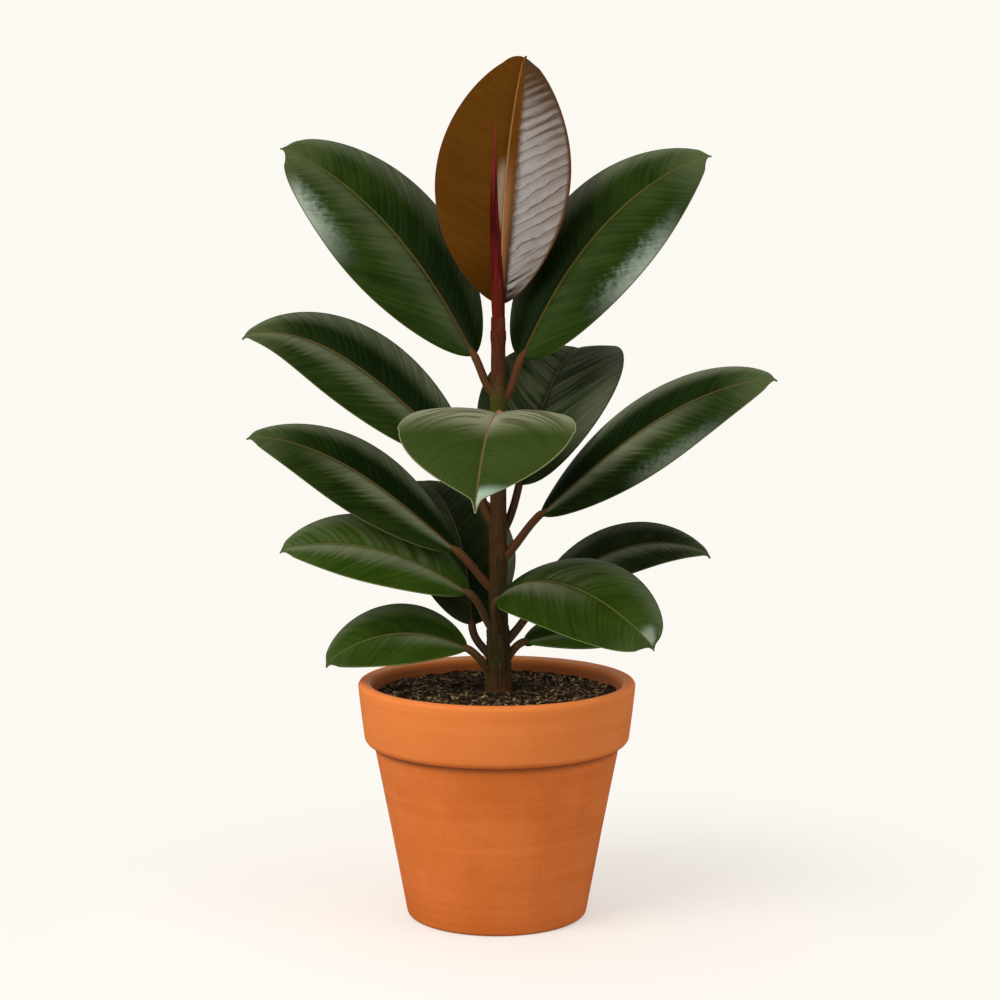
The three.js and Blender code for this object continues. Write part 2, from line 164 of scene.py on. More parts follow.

# Each blade's look and tones. base is the brightness of its green, silk the strength of the pale band
# of painted sheen under the midrib and silk_end how far along it reaches, dusk_end where the painted shade
# in the band above the midrib has gone, rim the paleness of the painted sheen on the upper margin, fan that
# of the streaks of painted sheen beside the midrib, fan_end where they have gone, tip the paleness of the
# tip and spark that of a painted glint close to it. shine gives the parts of the length at which the
# painted highlight on the lower margin starts, is full, wanes and ends, gleam its strength, inner where it
# begins across, and gloss how much the surface mirrors there. stalk is the colour of the stalk's underside
# where it isn't olive.
TONES = {
    "leaf_crown": dict(look="young", shine=(0.0, 0.08, 0.68, 0.99), gloss=1.2),
    "leaf_upper_left": dict(
        look="mature", silk=0.30, dusk_end=0.85, tip=0.5, shine=(0.48, 0.80, 0.83, 0.94), inner=0.50,
        gleam=0.95, gloss=0.10,
    ),
    "leaf_upper_right": dict(
        look="mature", base=1.05, silk=0.06, rim=1.3, tip=0.8, shine=(0.20, 0.48, 0.54, 0.84), inner=0.58,
        gleam=0.85, gloss=0.10,
    ),
    "leaf_front": dict(look="front", gloss=0.05),
    "leaf_middle_left": dict(
        look="mature", base=0.78, silk=0.68, silk_end=1.4, dusk_end=1.02, tip=0.7, gloss=0.02
    ),
    "leaf_back_right": dict(look="dark", base=0.9, fan=0.5, gloss=0.05),
    "leaf_middle_right": dict(
        look="mature", base=0.82, silk=1.1, silk_end=0.85, dusk_end=1.02, shine=(0.30, 0.45, 0.62, 0.86),
        rim=1.6, tip=0.7, inner=0.64, gleam=0.28, gloss=0.05,
    ),
    "leaf_lower_left": dict(
        look="mature", base=0.75, silk=1.15, silk_end=0.85, dusk_end=1.02, tip=0.6, gloss=0.0
    ),
    "leaf_low_left": dict(
        look="lower", base=1.15, silk=1.0, silk_end=1.4, dusk_end=0.5, rim=1.5, fan=0.55, gloss=0.05
    ),
    "leaf_low_right_front": dict(
        look="lower", base=0.85, silk=1.1, silk_end=0.72, dusk_end=0.5, fan=0.6, fan_end=0.7, tip=0.2,
        spark=0.5, stalk=(0.030, 0.022, 0.008), gloss=0.05,
    ),
    "leaf_low_right_back": dict(look="dark", base=0.75, silk=0.80, silk_end=1.6, tip=0.5, gloss=0.02),
    "leaf_back_left": dict(look="dark", base=0.75, silk=0.10, gloss=0.05),
    "leaf_lowest_right": dict(look="lower", base=1.3, silk=0.85, silk_end=1.2, gloss=0.05),
    "leaf_lowest_left": dict(look="lower", base=1.0, silk=0.70, silk_end=0.7, gloss=0.05),
}
TONE_DEFAULTS = dict(
    base=1.0, silk=0.0, silk_end=1.3, dusk_end=0.92, rim=1.0, fan=0.0, fan_end=1.6, tip=0.3, spark=0.0,
    shine=(0.3, 0.5, 0.8, 0.95), inner=0.45, gleam=0.0, stalk=None,
)

# Colours laid over a blade's green: painted shade above the midrib, painted sheen on the upper margin and
# below the midrib, a paler tip, painted sheen in streaks, a painted glint, a painted highlight on the lower
# margin, the upper edge in painted shade, and the stalk's olive underside
PAINTED_SHADE = (0.0030, 0.0085, 0.0012)
RIM_SHEEN = (0.165, 0.180, 0.118)
SILK_SHEEN = (0.138, 0.155, 0.088)
TIP = (0.110, 0.140, 0.060)
FAN_SHEEN = (0.110, 0.130, 0.065)
PAINTED_GLINT = (0.34, 0.40, 0.32)
GLEAM_HIGHLIGHT = (0.28, 0.34, 0.27)
EDGE_SHADE = (0.020, 0.018, 0.008)
OLIVE_STALK = (0.105, 0.082, 0.018)

# Colours painted on the front leaf: sheen on its upper part and its paler foot, a painted reflection, the
# dark lines on them and a painted glint beside its tip
FRONT_SHEEN = (0.290, 0.300, 0.185)
FRONT_FOOT_SHEEN = (0.44, 0.43, 0.33)
FRONT_LINE = (0.090, 0.075, 0.035)
FRONT_GLINT = (0.36, 0.48, 0.38)

# Colours of the young leaf's glossy half under its gloss, its dark foot, the warm zone beside its midrib
# and the pale patch behind the bud sheath
YOUNG_GLOSSY = (0.050, 0.030, 0.014)
YOUNG_FOOT = (0.030, 0.012, 0.001)
YOUNG_WARM = (0.28, 0.135, 0.055)
YOUNG_PATCH = (0.32, 0.25, 0.16)


class Field:
    """A node socket with arithmetic: an expression on fields adds its Math nodes."""

    def __init__(self, tree, socket):
        self.tree = tree
        self.socket = socket

    def math(self, operation, *values):
        return self.tree.node("ShaderNodeMath", {"operation": operation}, dict(enumerate(values)))

    def __add__(self, other):
        return self.math("ADD", self, other)

    def __radd__(self, other):
        return self.math("ADD", other, self)

    def __sub__(self, other):
        return self.math("SUBTRACT", self, other)

    def __rsub__(self, other):
        return self.math("SUBTRACT", other, self)

    def __mul__(self, other):
        return self.math("MULTIPLY", self, other)

    def __rmul__(self, other):
        return self.math("MULTIPLY", other, self)

    def __truediv__(self, other):
        return self.math("DIVIDE", self, other)

    def __rtruediv__(self, other):
        return self.math("DIVIDE", other, self)

    def __pow__(self, other):
        return self.math("POWER", self, other)

    def __rpow__(self, other):
        return self.math("POWER", other, self)

    def __abs__(self):
        return self.math("ABSOLUTE", self)

    def larger(self, other):
        return self.math("MAXIMUM", self, other)

    def fraction(self):
        return self.math("FRACT", self)

    def zigzag(self):
        """1 halfway between whole numbers, 0 at each of them."""
        return self.math("PINGPONG", self, 0.5) * 2

    def step(self, start, end):
        """0 up to start, 1 from end on, smooth between them."""
        return self.tree.node(
            "ShaderNodeMapRange",
            {"interpolation_type": "SMOOTHSTEP"},
            {"Value": self, "From Min": start, "From Max": end},
        )


class Tree:
    """A node tree that makes nodes and sets and links their sockets."""

    def __init__(self, node_tree):
        self.node_tree = node_tree

    def node(self, kind, settings=None, values=None, out=0):
        """Adds a node: its settings first, a ramp's stops among them, then its sockets' values or links."""
        made = self.node_tree.nodes.new(kind)
        for key, value in (settings or {}).items():
            if key == "stops":
                ramp = made.color_ramp
                while len(ramp.elements) < len(value):
                    ramp.elements.new(0.5)
                for element, (place, color) in zip(ramp.elements, value):
                    element.position = place
                    element.color = (*color, 1.0)
            else:
                setattr(made, key, value)
        for key, value in (values or {}).items():
            self.feed(self.find(made.inputs, key), value)
        return Field(self, self.find(made.outputs, out))

    @staticmethod
    def find(sockets, key):
        if isinstance(key, int):
            return sockets[key]
        enabled = (socket for socket in sockets if socket.enabled)
        return next(socket for socket in enabled if key in (socket.identifier, socket.name))

    def feed(self, socket, value):
        """Links a field to a socket, or sets the socket's constant."""
        if isinstance(value, Field):
            self.node_tree.links.new(value.socket, socket)
        elif isinstance(value, tuple) and len(value) == 3 and socket.type == "RGBA":
            socket.default_value = (*value, 1.0)
        else:
            socket.default_value = value

    def mix(self, start, end, factor):
        return self.node(
            "ShaderNodeMix",
            {"data_type": "RGBA", "blend_type": "MIX", "clamp_factor": True},
            {"Factor_Float": factor, "A_Color": start, "B_Color": end},
            out="Result_Color",
        )

    def parts(self, vector):
        """The three numbers of a vector field."""
        split = self.node_tree.nodes.new("ShaderNodeSeparateXYZ")
        self.node_tree.links.new(vector.socket, split.inputs[0])
        return [Field(self, socket) for socket in split.outputs]

    def joined(self, x, y, z):
        return self.node("ShaderNodeCombineXYZ", values={"X": x, "Y": y, "Z": z})

    def stretched(self, vector, scale):
        return self.node("ShaderNodeMapping", {"vector_type": "POINT"}, {"Vector": vector, "Scale": scale})

    def noise(self, vector, scale, detail, rough):
        return self.node(
            "ShaderNodeTexNoise",
            values={"Vector": vector, "Scale": scale, "Detail": detail, "Roughness": rough},
            out="Fac",
        )

    def attribute(self, name, out):
        return self.node("ShaderNodeAttribute", {"attribute_name": name}, out=out)

    def rays(self):
        """1 for rays from the camera, and 1 for rays that a glossy surface mirrors."""
        path = self.node_tree.nodes.new("ShaderNodeLightPath")
        return [Field(self, path.outputs[key]) for key in ("Is Camera Ray", "Is Glossy Ray")]


class Finish(Tree):
    """One node material with a Principled surface."""

    def __init__(self, name):
        self.material = bpy.data.materials.new(name)
        self.material.use_nodes = True
        super().__init__(self.material.node_tree)
        self.surface = self.node_tree.nodes["Principled BSDF"]

    def put(self, **values):
        """Sets or links the surface's own sockets, named with spaces as underscores."""
        for key, value in values.items():
            self.feed(self.surface.inputs[key.replace("_", " ")], value)

    def place(self):
        return self.node("ShaderNodeTexCoord", out="Object")

    def bump(self, height, distance, strength=1.0):
        values = {"Height": height, "Distance": distance, "Strength": strength}
        return self.node("ShaderNodeBump", values=values, out="Normal")


class PotSettings(bpy.types.PropertyGroup):
    height: FloatProperty(name="Height", description="Height of the pot", default=171 * MM, unit="LENGTH")
    rim_radius: FloatProperty(
        name="Rim radius", description="Outer radius at the lip", default=100 * MM, unit="LENGTH"
    )
    rim_height: FloatProperty(
        name="Rim height", description="Height of the rim band", default=42 * MM, unit="LENGTH"
    )
    rim_foot_radius: FloatProperty(
        name="Rim foot radius",
        description="Outer radius at the foot of the rim band",
        default=95.5 * MM,
        unit="LENGTH",
    )
    body_radius: FloatProperty(
        name="Body radius",
        description="Outer radius of the body under the rim",
        default=88.4 * MM,
        unit="LENGTH",
    )
    base_radius: FloatProperty(
        name="Base radius", description="Outer radius at the base", default=64.6 * MM, unit="LENGTH"
    )
    wall: FloatProperty(
        name="Wall", description="Thickness of wall and lip", default=8.8 * MM, unit="LENGTH"
    )
    floor: FloatProperty(
        name="Floor", description="Thickness of the floor", default=10 * MM, unit="LENGTH"
    )
    drain_radius: FloatProperty(
        name="Drain radius", description="Radius of the drain hole", default=11 * MM, unit="LENGTH"
    )
    clay: FloatVectorProperty(
        name="Clay", description="Colour of the fired clay", default=(0.69, 0.172, 0.027), subtype="COLOR"
    )


class SoilSettings(bpy.types.PropertyGroup):
    level: FloatProperty(
        name="Level", description="Height of the soil", default=160.5 * MM, unit="LENGTH"
    )
    crumbs: IntProperty(name="Crumbs", description="Number of loose crumbs", default=4400, min=0)
    dark: FloatVectorProperty(
        name="Dark", description="Damp soil", default=(0.008, 0.004, 0.002), subtype="COLOR"
    )
    tan: FloatVectorProperty(
        name="Tan", description="Dry bark crumbs", default=(0.36, 0.235, 0.105), subtype="COLOR"
    )


class StemSettings(bpy.types.PropertyGroup):
    centre: FloatProperty(
        name="Centre", description="Place of the stem along X", default=1 * MM, unit="LENGTH"
    )
    foot: FloatProperty(
        name="Foot", description="Lowest point, in the soil", default=96 * MM, unit="LENGTH"
    )
    top: FloatProperty(
        name="Top", description="Where the bud sheath begins", default=431 * MM, unit="LENGTH"
    )
    sheath_top: FloatProperty(
        name="Sheath top", description="Tip of the bud sheath", default=568 * MM, unit="LENGTH"
    )
    sheath_radius: FloatProperty(
        name="Sheath radius", description="Largest radius", default=5.3 * MM, unit="LENGTH"
    )
    sheath_color: FloatVectorProperty(
        name="Sheath", description="Colour of the bud sheath", default=(0.072, 0.0045, 0.003), subtype="COLOR"
    )


class LeafSettings(bpy.types.PropertyGroup):
    rows: IntProperty(name="Rows", description="Rows along a blade", default=150, min=20)
    columns: IntProperty(name="Columns", description="Columns across a blade", default=48, min=8)
    middle: FloatProperty(
        name="Middle", description="Thickness at the midrib", default=1.3 * MM, unit="LENGTH"
    )
    edge: FloatProperty(
        name="Edge", description="Thickness at the margin", default=0.8 * MM, unit="LENGTH"
    )
    vein_gap: FloatProperty(
        name="Vein gap", description="Distance between side veins", default=6.6 * MM, unit="LENGTH"
    )
    under_color: FloatVectorProperty(
        name="Underside", description="Duller lower face", default=(0.045, 0.085, 0.028), subtype="COLOR"
    )


class StageSettings(bpy.types.PropertyGroup):
    floor_color: FloatVectorProperty(
        name="Floor", description="Paper under the plant", default=(0.92, 0.88, 0.83), subtype="COLOR"
    )
    backdrop: FloatVectorProperty(
        name="Backdrop",
        description="What is seen behind the plant",
        default=(0.973, 0.947, 0.896),
        subtype="COLOR",
    )
    paper_glow: FloatProperty(
        name="Paper glow",
        description="Share of the paper's light that no shadow takes away",
        default=0.5,
        min=0,
        max=1,
    )
    key: FloatProperty(name="Key", description="Power of the large soft light", default=34.0, min=0)
    fill: FloatProperty(
        name="Fill", description="Power of the soft light on the right", default=9.0, min=0
    )


def leave_edit_mode():
    if bpy.context.object and bpy.context.object.mode != "OBJECT":
        bpy.ops.object.mode_set(mode="OBJECT")


def clear_selection():
    leave_edit_mode()
    bpy.ops.object.select_all(action="DESELECT")


def pick_only(piece):
    clear_selection()
    piece.select_set(True)
    bpy.context.view_layer.objects.active = piece


def choose(piece, keep, kind="verts"):
    """In edit mode, selects the vertices, edges or faces whose centre the test accepts."""
    shape = bmesh.from_edit_mesh(piece.data)
    bpy.ops.mesh.select_all(action="DESELECT")
    for item in getattr(shape, kind):
        corners = [item.co] if kind == "verts" else [corner.co for corner in item.verts]
        if all(keep(corner) for corner in corners):
            item.select_set(True)
    shape.select_flush_mode()
    bmesh.update_edit_mesh(piece.data)


def start_ring(vertices, radius, place, fill="NOTHING"):
    """Adds a ring or a disc, puts its place in its mesh, and opens it in edit mode with all selected."""
    clear_selection()
    bpy.ops.mesh.primitive_circle_add(vertices=vertices, radius=radius, fill_type=fill, location=place)
    bpy.ops.object.transform_apply(location=True)
    bpy.ops.object.mode_set(mode="EDIT")
    bpy.ops.mesh.select_all(action="SELECT")
    return bpy.context.object


def raise_ring(start, end, centre=(0, 0), new_centre=None):
    """Extrudes the selected ring from one (radius, height) to another about an upright axis."""
    ahead = new_centre or centre
    shift = (ahead[0] - centre[0], ahead[1] - centre[1], end[1] - start[1])
    bpy.ops.mesh.extrude_region_move(TRANSFORM_OT_translate={"value": shift})
    factor = end[0] / start[0]
    bpy.ops.transform.resize(value=(factor, factor, 1), center_override=(*ahead, end[1]))


def closed_and_smooth(piece, angle):
    """Merges doubles, turns the faces outwards and smooths all but sharp corners."""
    pick_only(piece)
    bpy.ops.object.mode_set(mode="EDIT")
    bpy.ops.mesh.select_all(action="SELECT")
    bpy.ops.mesh.remove_doubles(threshold=1e-6)
    bpy.ops.mesh.normals_make_consistent(inside=False)
    bpy.ops.object.mode_set(mode="OBJECT")
    bpy.ops.object.shade_smooth_by_angle(angle=math.radians(angle))


def settle(piece, name, slot, *nodes):
    """Names a finished piece, puts its place in its mesh, and seats it in the frame."""
    pick_only(piece)
    bpy.ops.object.transform_apply(location=True, rotation=True, scale=True)
    piece.name = name
    piece.data.name = name
    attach(piece, "root")
    if nodes:
        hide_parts(*nodes)
    return piece


def dress(piece, *finishes):
    """Gives a new piece its materials; its faces keep their slot numbers."""
    for finish in finishes:
        piece.data.materials.append(finish.material)


def lerp(start, end, part):
    return start + (end - start) * part


# Pot


def inner_radius(pot, height):
    """The pot's inner wall at a height: parallel to the body, under an upright lip."""
    body_top = pot.height - pot.rim_height
    wall_top = pot.body_radius - pot.wall
    if height > body_top:
        return lerp(wall_top, pot.rim_radius - pot.wall, (height - body_top) / pot.rim_height)
    return lerp(pot.base_radius - pot.wall, wall_top, height / body_top)


def clay_finish(pot):
    finish = Finish("fired_clay")
    place = finish.place()
    x, y, z = finish.parts(place)
    radius = (x * x + y * y) ** 0.5
    cloud = finish.noise(place, 22, 4, 0.6)
    speck = finish.noise(place, 420, 3, 0.6)
    rings = finish.noise(finish.stretched(place, (6, 6, 190)), 1.0, 3, 0.55)
    pale = tuple(min(1, value * factor) for value, factor in zip(pot.clay, (1.08, 1.18, 1.6)))
    dull = tuple(value * factor for value, factor in zip(pot.clay, (0.92, 0.86, 0.75)))
    color = finish.mix(dull, pale, (cloud * 0.5 + rings * 0.3 + speck * 0.2).step(0.34, 0.68))
    # The rim band is mixed paler than the body
    rim_band_pale = tuple(min(1, value * factor) for value, factor in zip(pot.clay, (1.10, 1.34, 1.9)))
    rim_foot = pot.height - pot.rim_height
    band = z.step(rim_foot - 1.5 * MM, rim_foot + 2.5 * MM)
    color = finish.mix(color, rim_band_pale, band * (rings * 0.5 + 0.3))
    # Darker inner wall above the soil, partly damp and partly painted shade of the pot's hollow, and the
    # paler inner edge of the lip, a painted highlight
    lip_inner = pot.rim_radius - pot.wall
    damp_and_shade = radius.step(lip_inner + 1.3 * MM, lip_inner - 1.7 * MM)
    damp_and_shade = damp_and_shade * z.step(rim_foot - 9 * MM, rim_foot - 3 * MM)
    damp_and_shade = damp_and_shade * z.step(pot.height - 1.5 * MM, pot.height - 7 * MM)
    color = finish.mix(color, (0.16, 0.036, 0.007), damp_and_shade * (0.55 + cloud * 0.3))
    # Painted highlight along the rounded inner edge of the lip
    lip_highlight = radius.step(lip_inner - 0.4 * MM, lip_inner + 0.4 * MM)
    lip_highlight = lip_highlight * radius.step(lip_inner + 3.3 * MM, lip_inner + 1.3 * MM)
    lip_highlight = lip_highlight * z.step(pot.height - 5 * MM, pot.height - 1.5 * MM)
    color = finish.mix(color, (0.62, 0.33, 0.19), lip_highlight * (speck * 0.5 + 0.35))
    grain = speck * 0.5 + rings * 0.5
    finish.put(Base_Color=color, Roughness=0.78, Normal=finish.bump(grain, 0.00035, 0.5))
    finish.put(Specular_IOR_Level=0.35)
    return finish


class PLANT_OT_pot(bpy.types.Operator):
    """Model the terracotta pot"""

    bl_idname = "plant.pot"
    bl_label = "Pot"

    def execute(self, context):
        pot = context.scene.plant_pot
        rim_foot = pot.height - pot.rim_height
        lip_inner = pot.rim_radius - pot.wall
        rings = [
            (pot.drain_radius, 0.0),
            (pot.base_radius, 0.0),
            (lerp(pot.base_radius, pot.body_radius, 0.5), rim_foot / 2),
            (pot.body_radius, rim_foot - 3.6 * MM),
            (pot.rim_foot_radius - 0.6 * MM, rim_foot - 1.6 * MM),
            (lerp(pot.rim_foot_radius, pot.rim_radius, 0.5), pot.height - pot.rim_height / 2),
            (pot.rim_radius, pot.height),
            (lip_inner, pot.height),
            (inner_radius(pot, rim_foot), rim_foot),
            (inner_radius(pot, pot.floor), pot.floor),
            (pot.drain_radius, pot.floor),
            (pot.drain_radius, 0.0),
        ]
        piece = start_ring(160, rings[0][0], (0, 0, 0))
        for start, end in zip(rings, rings[1:]):
            raise_ring(start, end)
        bpy.ops.mesh.select_all(action="SELECT")
        bpy.ops.mesh.remove_doubles(threshold=1e-6)
        bevels = [
            (pot.base_radius, 0.0, 3 * MM, 4),
            (pot.body_radius, rim_foot - 3.6 * MM, 1.6 * MM, 3),
            (pot.rim_foot_radius - 0.6 * MM, rim_foot - 1.6 * MM, 3.4 * MM, 6),
            (pot.rim_radius, pot.height, 3.8 * MM, 8),
            (lip_inner, pot.height, 3.6 * MM, 8),
            (pot.drain_radius, 0.0, 1 * MM, 2),
        ]
        for radius, height, size, segments in bevels:
            choose(
                piece,
                lambda p, r=radius, h=height: abs(p.xy.length - r) < 1e-5 and abs(p.z - h) < 1e-5,
                "edges",
            )
            bpy.ops.mesh.bevel(offset=size, segments=segments, affect="EDGES")
        closed_and_smooth(piece, 40)
        dress(piece, clay_finish(pot))
        settle(piece, "clay_pot", "terracotta", "pot")
        return {"FINISHED"}


# Soil


def soil_height(radius, angle, level):
    """Height of the soil in millimetres: a shallow mound round the stem with uneven lumps."""
    mound = 2.5 * math.exp(-((radius / 38) ** 2))
    lumps = math.sin(5 * angle + radius * 0.13) * math.cos(0.21 * radius - 3 * angle)
    lumps += 0.6 * math.sin(11 * angle - radius * 0.3)
    rough = noise.noise(Vector((radius * math.cos(angle), radius * math.sin(angle), 0)) * 0.16)
    fine = noise.noise(Vector((radius * math.cos(angle), radius * math.sin(angle), 9)) * 0.45)
    return level + mound + 0.8 * lumps + 1.6 * rough + 0.9 * fine


def soil_finish(soil):
    finish = Finish("damp_soil")
    place = finish.place()
    cloud = finish.noise(place, 90, 5, 0.7)
    grain = finish.noise(place, 600, 4, 0.7)
    color = finish.mix(tuple(soil.dark), (0.045, 0.028, 0.017), (cloud * 0.5 + grain * 0.5).step(0.45, 0.62))
    finish.put(Base_Color=color, Roughness=0.95, Normal=finish.bump(grain + cloud, 0.0012, 0.9))
    finish.put(Specular_IOR_Level=0.2)
    return finish


def crumb_finish(soil):
    finish = Finish("bark_crumbs")
    place = finish.place()
    tone = finish.attribute("tone", "Fac")
    grain = finish.noise(place, 900, 3, 0.6)
    color = finish.node(
        "ShaderNodeValToRGB",
        {
            "stops": [
                (0.0, tuple(soil.dark)),
                (0.20, (0.045, 0.026, 0.012)),
                (0.50, (0.150, 0.096, 0.046)),
                (1.0, tuple(soil.tan)),
            ]
        },
        {"Fac": tone * 0.86 + grain * 0.14},
    )
    finish.put(Base_Color=color, Roughness=0.85, Normal=finish.bump(grain, 0.0004, 0.8))
    finish.put(Specular_IOR_Level=0.3)
    return finish


class PLANT_OT_soil(bpy.types.Operator):
    """Model the soil and the loose crumbs on it"""

    bl_idname = "plant.soil"
    bl_label = "Soil"

    def execute(self, context):
        soil = context.scene.plant_soil
        pot = context.scene.plant_pot
        edge = inner_radius(pot, soil.level) - 0.3 * MM
        foot = inner_radius(pot, pot.floor + 0.3 * MM) - 0.3 * MM
        bend = pot.height - pot.rim_height
        rings = [
            (foot, pot.floor + 0.3 * MM),
            (inner_radius(pot, bend) - 0.3 * MM, bend),
            (edge, soil.level),
        ]
        piece = start_ring(160, foot, (0, 0, rings[0][1]), "NGON")
        for start, end in zip(rings, rings[1:]):
            raise_ring(start, end)
        steps = 44
        for _ in range(steps):
            bpy.ops.mesh.inset(thickness=edge / (steps + 1))
        bpy.ops.mesh.poke()
        bpy.ops.object.mode_set(mode="OBJECT")
        for vertex in piece.data.vertices:
            if vertex.co.z > soil.level - 0.01 * MM:
                radius = vertex.co.xy.length / MM
                angle = math.atan2(vertex.co.y, vertex.co.x)
                vertex.co.z = soil_height(radius, angle, soil.level / MM) * MM
        closed_and_smooth(piece, 80)
        dress(piece, soil_finish(soil))
        settle(piece, "soil_bed", "soil", "soil")
        self.scatter(context, soil, edge)
        return {"FINISHED"}

    def crumb_shapes(self, context):
        """Three crumbs of unlike shape, each modelled once: vertices and triangles."""
        shapes = []
        for seed, stretch in enumerate([(1.0, 0.32, 0.20), (1.0, 0.6, 0.4), (1.0, 0.24, 0.18)]):
            clear_selection()
            bpy.ops.mesh.primitive_ico_sphere_add(
                subdivisions=1, radius=1, location=(0, 0, 0), enter_editmode=True
            )
            bpy.ops.mesh.select_all(action="SELECT")
            bpy.ops.transform.resize(value=stretch, center_override=(0, 0, 0))
            bpy.ops.transform.vertex_random(offset=0.16, uniform=1.0, seed=SEED + seed)
            bpy.ops.object.mode_set(mode="OBJECT")
            mesh = context.object.data
            points = np.array([vertex.co for vertex in mesh.vertices])
            faces = np.array([face.vertices for face in mesh.polygons])
            shapes.append((points, faces))
            bpy.data.objects.remove(context.object)
        return shapes

    def scatter(self, context, soil, edge):
        """Lays the crumbs on the soil, most of them flat, darker round the stem and behind it in painted
        shadow of the leaves.
        """
        rng = random.Random(SEED)
        shapes = self.crumb_shapes(context)
        points, faces, tones, count = [], [], [], 0
        for _ in range(soil.crumbs):
            shape, triangles = shapes[rng.choice((0, 0, 1, 2))]
            radius = math.sqrt(rng.uniform(0.016, 0.93)) * edge
            angle = rng.uniform(-math.pi, math.pi)
            size = lerp(0.8, 2.8, rng.random() ** 2.0) * MM
            turn = rng.uniform(0, math.tau)
            tilt = rng.gauss(0, 0.38)
            cosine, sine = math.cos(turn), math.sin(turn)
            spin = np.array([[cosine, -sine, 0], [sine, cosine, 0], [0, 0, 1]])
            cosine, sine = math.cos(tilt), math.sin(tilt)
            lean = np.array([[cosine, 0, sine], [0, 1, 0], [-sine, 0, cosine]])
            top = soil_height(radius / MM, angle, soil.level / MM) * MM
            top += size * rng.uniform(0.02, 0.3)
            seat = np.array([radius * math.cos(angle), radius * math.sin(angle), top])
            points.append((shape * size) @ lean.T @ spin.T + seat)
            faces.append(triangles + count)
            # Painted shadow of the leaves: crumbs darker round the stem and behind it
            near = min(1, max(0, (radius / MM - 14 - 14 * math.sin(angle)) / 28))
            tones.append(np.full(len(shape), rng.random() ** 1.4 * lerp(0.25, 1, near)))
            count += len(shape)
        mesh = bpy.data.meshes.new("soil_crumbs")
        mesh.from_pydata(np.concatenate(points).tolist(), [], np.concatenate(faces).tolist())
        tone = mesh.attributes.new("tone", "FLOAT", "POINT")
        tone.data.foreach_set("value", np.concatenate(tones))
        piece = bpy.data.objects.new("soil_crumbs", mesh)
        context.collection.objects.link(piece)
        dress(piece, crumb_finish(soil))
        settle(piece, "soil_crumbs", "soil")


# Stem and bud sheath


def stem_radius(height):
    """Stem radius in millimetres at a height: woody foot, slender top, a swelling at each leaf node."""
    above = max(height - 160.5, 0)
    wood = lerp(6.6, 4.9, min(above / 270.5, 1)) + 3.4 * math.exp(-above / 45)
    root = (height - 96) / 54
    body = lerp(4, wood, root) if root < 1 else wood
    swelling = sum(0.55 * math.exp(-(((height - leaf["node"]) / 4) ** 2)) for leaf in LEAVES.values())
    scars = sum(0.30 * math.exp(-(((height - leaf["node"] - 3.6) / 0.9) ** 2)) for leaf in LEAVES.values())
    scars -= sum(0.22 * math.exp(-(((height - leaf["node"] - 5.4) / 0.8) ** 2)) for leaf in LEAVES.values())
    return body + min(swelling, 0.7) + max(min(scars, 0.3), -0.22) * (height > 150)


def bark_finish():
    finish = Finish("stem_bark")
    place = finish.place()
    height = finish.parts(place)[2]
    streaks = finish.noise(finish.stretched(place, (1, 1, 0.10)), 620, 4, 0.6)
    cloud = finish.noise(finish.stretched(place, (1, 1, 0.45)), 90, 4, 0.6)
    fine = finish.noise(place, 900, 3, 0.6)
    shifted = height + (cloud - 0.5) * 0.022
    # Colours by height: reddish foot, green-brown wood, brown, green under the top leaves, red top
    stops = [
        (0.160, (0.070, 0.028, 0.008)),
        (0.182, (0.022, 0.018, 0.004)),
        (0.230, (0.030, 0.022, 0.006)),
        (0.262, (0.050, 0.022, 0.008)),
        (0.335, (0.062, 0.030, 0.010)),
        (0.350, (0.052, 0.058, 0.007)),
        (0.368, (0.048, 0.054, 0.007)),
        (0.392, (0.062, 0.022, 0.007)),
        (0.431, (0.085, 0.009, 0.004)),
    ]
    low, high = stops[0][0], stops[-1][0]
    color = finish.node(
        "ShaderNodeValToRGB",
        {"stops": [((place_z - low) / (high - low), shade) for place_z, shade in stops]},
        {"Fac": (shifted - low) / (high - low)},
    )
    color = finish.mix(color, (0.115, 0.062, 0.030), streaks.step(0.52, 0.74) * 0.45)
    color = finish.mix(color, (0.012, 0.008, 0.005), streaks.step(0.48, 0.30) * 0.6)
    grain = streaks * 0.7 + fine * 0.3
    finish.put(Base_Color=color, Roughness=0.62, Normal=finish.bump(grain, 0.0006, 0.6))
    finish.put(Specular_IOR_Level=0.10)
    return finish


def sheath_finish(stem):
    finish = Finish("bud_sheath")
    place = finish.place()
    height = finish.parts(place)[2]
    streaks = finish.noise(finish.stretched(place, (1, 1, 0.05)), 500, 3, 0.55)
    deep = tuple(value * 0.55 for value in stem.sheath_color)
    bright = tuple(min(1, value * 1.6 + 0.003) for value in stem.sheath_color)
    color = finish.mix(deep, bright, streaks.step(0.35, 0.68))
    color = finish.mix(color, (0.20, 0.030, 0.018), height.step(0.510, 0.565) * 0.7)
    color = finish.mix(color, (0.085, 0.012, 0.005), height.step(0.462, 0.434) * 0.8)
    finish.put(Base_Color=color, Roughness=0.42, Normal=finish.bump(streaks, 0.0003, 0.35))
    finish.put(Specular_IOR_Level=0.04)
    return finish


